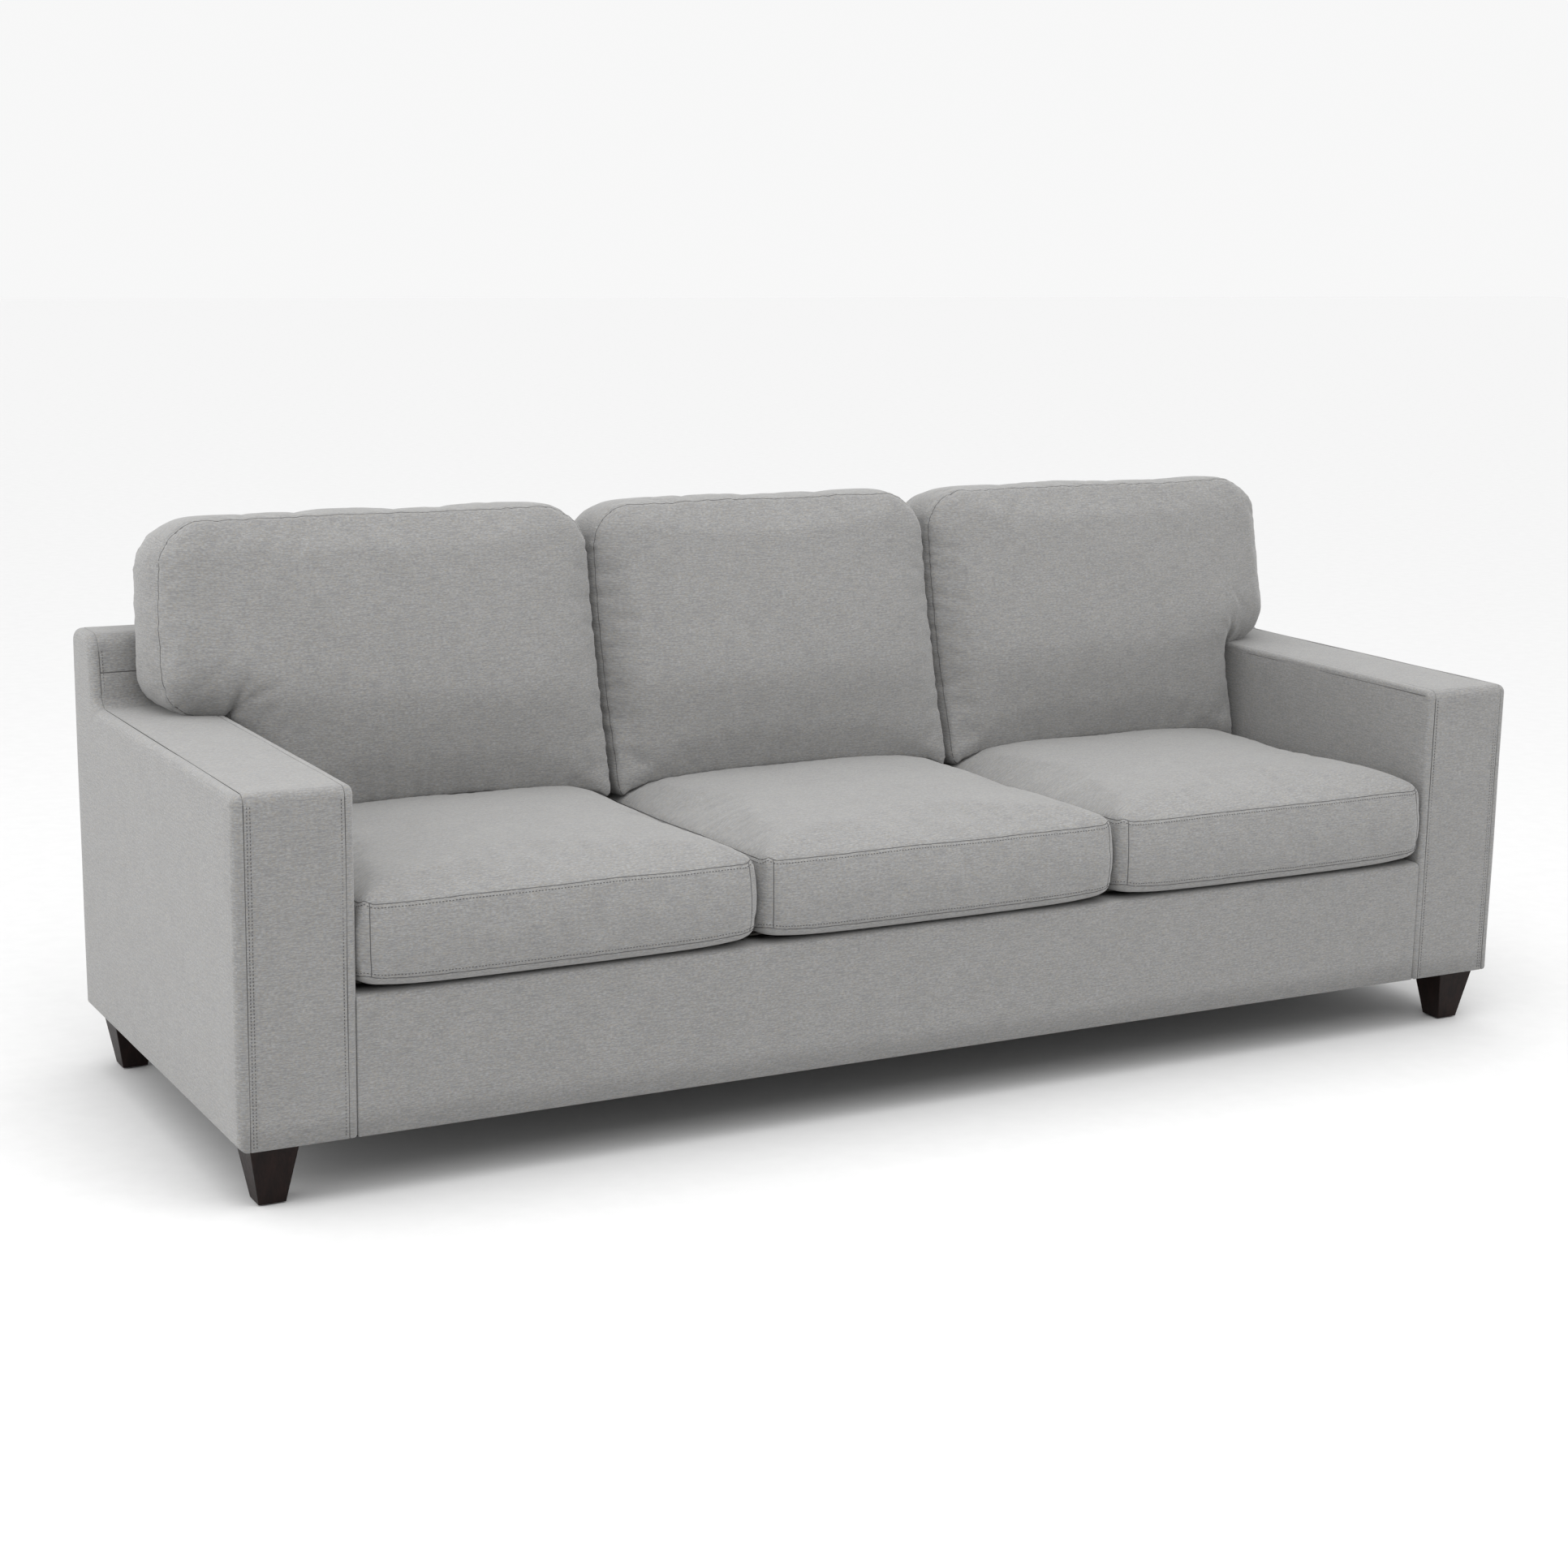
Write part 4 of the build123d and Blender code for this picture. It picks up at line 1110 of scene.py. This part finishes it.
class SOFA_OT_back_cushions(bpy.types.Operator):
    """Makes the back cushions; the outer two reach over the arms"""

    bl_idname = "sofa.back_cushions"
    bl_label = "Back cushions"

    def execute(self, context):
        for place, ear in zip(PLACES, (-1, 0, 1)):
            self.make(context.scene.sofa_sizes, place, ear)
        return {"FINISHED"}

    @staticmethod
    def corners_of(ear, inner_x, ear_x, foot, arm, top):
        """The outline of a cushion whose ear, if any, is on the side that ear gives."""
        if not ear:
            low = [(-inner_x, foot, 12 * MM), (inner_x, foot, 12 * MM)]
            return low + [(inner_x, top, 76 * MM), (-inner_x, top, 76 * MM)]
        right = [
            (inner_x, foot, 12 * MM),
            (NOTCH_X, foot, 14 * MM),
            (NOTCH_X, arm, 9 * MM),
            (ear_x, arm, 56 * MM),
            (ear_x, arm + 0.5 * (top - arm), 90 * MM),
            (ear_x - 13 * MM, top, 70 * MM),
            (inner_x, top, 76 * MM),
        ]
        return right if ear > 0 else [(-x, y, r) for x, y, r in reversed(right)]

    def make(self, sizes, place, ear):
        low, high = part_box(f"back_cover_{place}")
        boxing = sizes.boxing
        foot = (deck_z(0.1) + 162 * MM - BACK_FOOT_Z) / math.cos(RAKE)
        top = (high.z - boxing * math.sin(RAKE) - 4 * MM - BACK_FOOT_Z) / math.cos(RAKE)
        arm = (ARM_TOP_Z - 3 * MM - BACK_FOOT_Z) / math.cos(RAKE)
        inset = 3 * MM
        edges = sorted((low.x + inset, high.x - inset), key=abs)
        near_x, far_x = (edges[0], edges[1]) if ear else (low.x + inset, high.x - inset)
        ear_x = abs(far_x) - 9 * MM if ear else abs(far_x)
        corners = self.corners_of(ear, abs(near_x), ear_x, foot, arm, top)
        outline = outline_points(corners)
        to_edge = edge_distance(outline)
        to_sofa = rake_matrix()
        middle = (low.x + high.x) / 2
        if ear:
            middle = ear * (abs(near_x) + ARM_IN) / 2
        seat_low, seat_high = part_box(f"seat_cover_{place}")
        seat_middle, seat_half = (seat_low.x + seat_high.x) / 2, (seat_high.x - seat_low.x) / 2
        phase = 3.0 + 4.0 * PLACES.index(place)

        def limits(p):
            """The cushion's left, right and lower edges, with the notch smoothed away."""
            left, right = low.x + inset, high.x - inset
            bottom = foot
            if ear:
                over = smooth(p.y, arm - 40 * MM, arm + 60 * MM)
                out = NOTCH_X + (abs(far_x) - NOTCH_X) * over
                left, right = (-out, right) if ear < 0 else (left, out)
                lifted = smooth(ear * p.x, NOTCH_X - 60 * MM, NOTCH_X + 25 * MM)
                bottom = foot + (arm - foot) * lifted
            return left, right, bottom

        def shape(p):
            e = to_edge(p)
            share = clamp(p.z / boxing, 0.0, 1.0)
            v = (p.y - foot) / (top - foot)
            left, right, bottom = limits(p)
            slow = near_edge(p.x - left, 88 * MM) * near_edge(right - p.x, 88 * MM)
            slow *= near_edge(p.y - bottom, 20 * MM) * near_edge(top - p.y, 110 * MM)
            steep = near_edge(e, 12 * MM)
            wander = noise.noise(Vector((p.x * 2.6 + phase, p.y * 2.6, phase)))
            rounding = 0.40 + 0.60 * smooth(v, 0.0, 0.36)
            rounding *= 1.12 - 0.30 * smooth(v, 0.35, 0.95)
            crown = sizes.back_crown * rounding * (1 + 0.10 * wander)
            crown *= steep * (0.30 + 0.70 * slow)
            z = p.z + share * crown
            between = 1 - smooth(abs(p.x), ARM_IN - 40 * MM, ARM_IN + 60 * MM)
            z += share * between * sizes.back_foot * math.exp(-max(p.y - foot, 0.0) / (150 * MM))
            edge = math.exp(-e / (10 * MM))
            belly = math.sin(math.pi * share) ** 0.8 * 6 * MM * edge
            out = Vector((p.x - middle, (p.y - (foot + top) / 2) * 1.6))
            out.normalize()
            wave = 4.5 * MM * noise.noise(Vector((p.x * 8 + phase, 1.0, share)))
            wave *= math.exp(-max(top - p.y, 0.0) / (30 * MM))
            y = p.y + out.y * belly + wave
            lowered = math.exp(-max(p.y - foot, 0.0) / (38 * MM))
            if abs(p.x) < ARM_IN:
                spot = to_sofa @ Vector((p.x, p.y, z))
                depth = clamp(spot.y, NOSE_Y + 0.1, SEAT_REAR_Y - 12 * MM) - NOSE_Y
                rise = seat_crown_at(spot.x - seat_middle, depth, seat_half - SEAT_INSET)
                seat_z = deck_z(spot.y) + 2.5 * MM + SEAT_SEAM + rise
                y += (seat_z - (to_sofa @ Vector((p.x, foot, z))).z) * lowered
            elif ear:
                y -= z * math.tan(RAKE) * math.exp(-abs(p.y - arm) / (60 * MM))
            spread = -ear * share * 9 * MM * edge * smooth(ear * p.x, ARM_IN, ARM_IN + 60 * MM)
            return Vector((p.x + out.x * belly + spread, y, z))

        block = block_mesh(f"back_cushion_cover_{place}", outline, boxing, sizes.voxel)
        pins = []
        for v in block.data.vertices:
            share = v.co.z / boxing
            e = to_edge(v.co)
            at_seam = e < 5 * MM and (share > 0.95 or share < 0.05)
            over_arm = abs(v.co.y - arm) < 6 * MM and abs(v.co.x) > ARM_IN - 10 * MM
            stands = v.co.y < foot + 6 * MM or over_arm
            if at_seam or stands or (v.co.z < 2 * MM and e > 15 * MM):
                pins.append(v.index)
            v.co = shape(v.co)
        inflate(block, pins, 5 * MM)
        subdivide(block)
        seams = [[shape(Vector((p.x, p.y, z))) for p in outline] for z in (boxing, 0.5 * MM)]
        pucker(block, seams, 2.4 * MM, 44 * MM, 18 * MM, 1.8 * MM)
        if ear:
            notch = shape(Vector((ear * NOTCH_X, arm, boxing)))
            self.notch_creases(block, notch, ear)
        body = f"back_cushion_{place}"
        block.data.transform(to_sofa)
        nodes = [f"back_cover_{place}", f"back_fill_{place}"]
        dress(block, "woven_linen_blend", body, nodes)
        laid = on_surface(block, to_sofa, seams, -0.35 * MM)
        seam_thread(f"back_seams_{place}", laid, body)
        under = [p for p in outline if p.y < foot + 1 * MM and abs(p.x - middle) < 0.25]
        under.sort(key=lambda p: p.x)
        track = [shape(Vector((p.x, p.y, 0.35 * boxing))) for p in under]
        zip_fastener(f"back_zip_{place}", on_surface(block, to_sofa, [track])[0], body)

    @staticmethod
    def notch_creases(block, notch, ear):
        """Creases that fan out over the front panel from the notch at the arm."""
        for v in block.data.vertices:
            away = Vector((v.co.x - notch.x, v.co.y - notch.y))
            distance = away.length
            if v.co.z < notch.z - 20 * MM or distance > 95 * MM:
                continue
            angle = math.atan2(away.y, -ear * away.x)
            fold = math.sin(angle * 9.0 + 0.8) * smooth(angle, -0.1, 0.5)
            fold *= 1 - smooth(angle, 1.9, 2.6)
            fade = smooth(distance, 4 * MM, 22 * MM) * (1 - distance / (95 * MM)) ** 1.5
            v.co += v.normal * 1.8 * MM * fold * fade


def zip_fastener(name, track, body):
    """The teeth of a coil zip along a line of (point, normal)."""
    bm = bmesh.new()
    points = [p for p, _ in track]
    normal = track[len(track) // 2][1]
    for spot, way in spaced(points, 3.2 * MM):
        side = normal.cross(way).normalized()
        up = way.cross(side).normalized()
        place = placed(spot, way, side, up, (1.2 * MM, 2.6 * MM, 0.8 * MM))
        bmesh.ops.create_icosphere(bm, subdivisions=1, radius=1.0, matrix=place)
    new_piece(name, bm, body, "nylon_zip_coil", weave=False)


# ---- carried nodes -------------------------------------------------------------------

NODE_FINISHES = {
    "frame_timber": "sawn_frame_timber",
    "frame_plywood": "birch_plywood",
    "leg_wood": "stained_rubberwood",
    "glide_nylon": "moulded_nylon",
    "zinc_steel": "zinc_plated_steel",
    "spring_wire": "oiled_spring_wire",
    "webbing": "elastic_webbing",
    "foam": "polyurethane_foam",
    "fibre_fill": "polyester_fibre",
    "deck_lining": "grey_platform_cloth",
    "dust_cloth": "black_cambric",
}


class SOFA_OT_inner_work(bpy.types.Operator):
    """Gives the legs, the timber, the springs and the padding their materials"""

    bl_idname = "sofa.inner_work"
    bl_label = "Legs and inner work"

    def execute(self, context):
        slots = {s["node"]: s["material_slot"] for s in frame["record"]["subparts"]}
        for name, node in frame["nodes"].items():
            key = NODE_FINISHES.get(slots[name])
            if not key:
                continue
            node.data.materials.clear()
            node.data.materials.append(finish_of(key))
        return {"FINISHED"}


# ---- studio --------------------------------------------------------------------------


class SOFA_OT_stage(bpy.types.Operator):
    """Sets up the pale floor, the soft lights and the camera"""

    bl_idname = "sofa.stage"
    bl_label = "Stage"

    def execute(self, context):
        scene = context.scene
        bm = bmesh.new()
        bmesh.ops.create_grid(bm, x_segments=4, y_segments=4, size=30.0)
        floor = object_of("studio_floor", bm)
        floor.data.materials.append(finish_of("studio_paper"))
        world = bpy.data.worlds.new("studio_air")
        world.use_nodes = True
        air = world.node_tree.nodes["Background"].inputs
        air["Color"].default_value = linear("#FFFFFF")
        air["Strength"].default_value = 0.935
        scene.world = world
        scene.view_settings.view_transform = "Standard"
        sky = bpy.data.lights.new("ceiling_light", "SUN")
        sky.energy = 1.35
        sky.angle = math.radians(70)
        ceiling = bpy.data.objects.new("ceiling_light", sky)
        ceiling.rotation_euler = (math.radians(-6), math.radians(-5), 0)
        scene.collection.objects.link(ceiling)
        self.lamp("side_softbox", (-3.3, 0.0, 1.1), 1.8, 26.0)
        self.lamp("front_softbox", (0.0, -1.9, 2.6), 2.5, 42.0)
        self.camera(scene)
        return {"FINISHED"}

    @staticmethod
    def lamp(name, place, size, power):
        light = bpy.data.lights.new(name, "AREA")
        light.size = size
        light.energy = power
        lamp = bpy.data.objects.new(name, light)
        lamp.location = place
        lamp.visible_camera = False
        aim = Vector((0, 0, 0.4)) - Vector(place)
        lamp.rotation_euler = aim.to_track_quat("-Z", "Y").to_euler()
        bpy.context.scene.collection.objects.link(lamp)

    @staticmethod
    def camera(scene):
        """Stands left of the front, a little above the back, and looks down at the seat."""
        yaw, pitch, roll = 0.5001, 0.2082, 0.0183
        flat = math.cos(pitch)
        ahead = Vector((math.sin(yaw) * flat, math.cos(yaw) * flat, -math.sin(pitch)))
        right = Vector((math.cos(yaw), -math.sin(yaw), 0))
        up = right.cross(ahead)
        x_axis = right * math.cos(roll) + up * math.sin(roll)
        y_axis = up * math.cos(roll) - right * math.sin(roll)
        eye = Vector((-2.2103, -3.930, 1.3874))
        data = bpy.data.cameras.new("studio_camera")
        data.sensor_width = 36.0
        data.lens = 64.17
        camera = bpy.data.objects.new("studio_camera", data)
        camera.matrix_world = placed(eye, x_axis, y_axis, -ahead)
        scene.collection.objects.link(camera)
        scene.camera = camera


class SOFA_PT_panel(bpy.types.Panel):
    """Lists the parts of the sofa"""

    bl_idname = "SOFA_PT_panel"
    bl_label = "Sofa"
    bl_space_type = "VIEW_3D"
    bl_region_type = "UI"
    bl_category = "Sofa"

    def draw(self, context):
        for operator in OPERATORS:
            self.layout.operator(operator.bl_idname)
        for group in (context.scene.sofa_sizes, context.scene.sofa_colours):
            for key in group.bl_rna.properties.keys():
                if key not in ("rna_type", "name"):
                    self.layout.prop(group, key)


OPERATORS = (
    SOFA_OT_arms,
    SOFA_OT_rail_and_back,
    SOFA_OT_deck,
    SOFA_OT_seat_cushions,
    SOFA_OT_back_cushions,
    SOFA_OT_inner_work,
    SOFA_OT_stage,
)
CLASSES = (SofaSizes, SofaColours, *OPERATORS, SOFA_PT_panel)


def register():
    for cls in CLASSES:
        bpy.utils.register_class(cls)
    bpy.types.Scene.sofa_sizes = bpy.props.PointerProperty(type=SofaSizes)
    bpy.types.Scene.sofa_colours = bpy.props.PointerProperty(type=SofaColours)


def unregister():
    del bpy.types.Scene.sofa_colours
    del bpy.types.Scene.sofa_sizes
    for cls in reversed(CLASSES):
        bpy.utils.unregister_class(cls)


def main():
    register()
    bpy.ops.sofa.arms()
    bpy.ops.sofa.rail_and_back()
    bpy.ops.sofa.deck()
    bpy.ops.sofa.seat_cushions()
    bpy.ops.sofa.back_cushions()
    bpy.ops.sofa.inner_work()
    bpy.ops.sofa.stage()


if __name__ == "__main__":
    main()
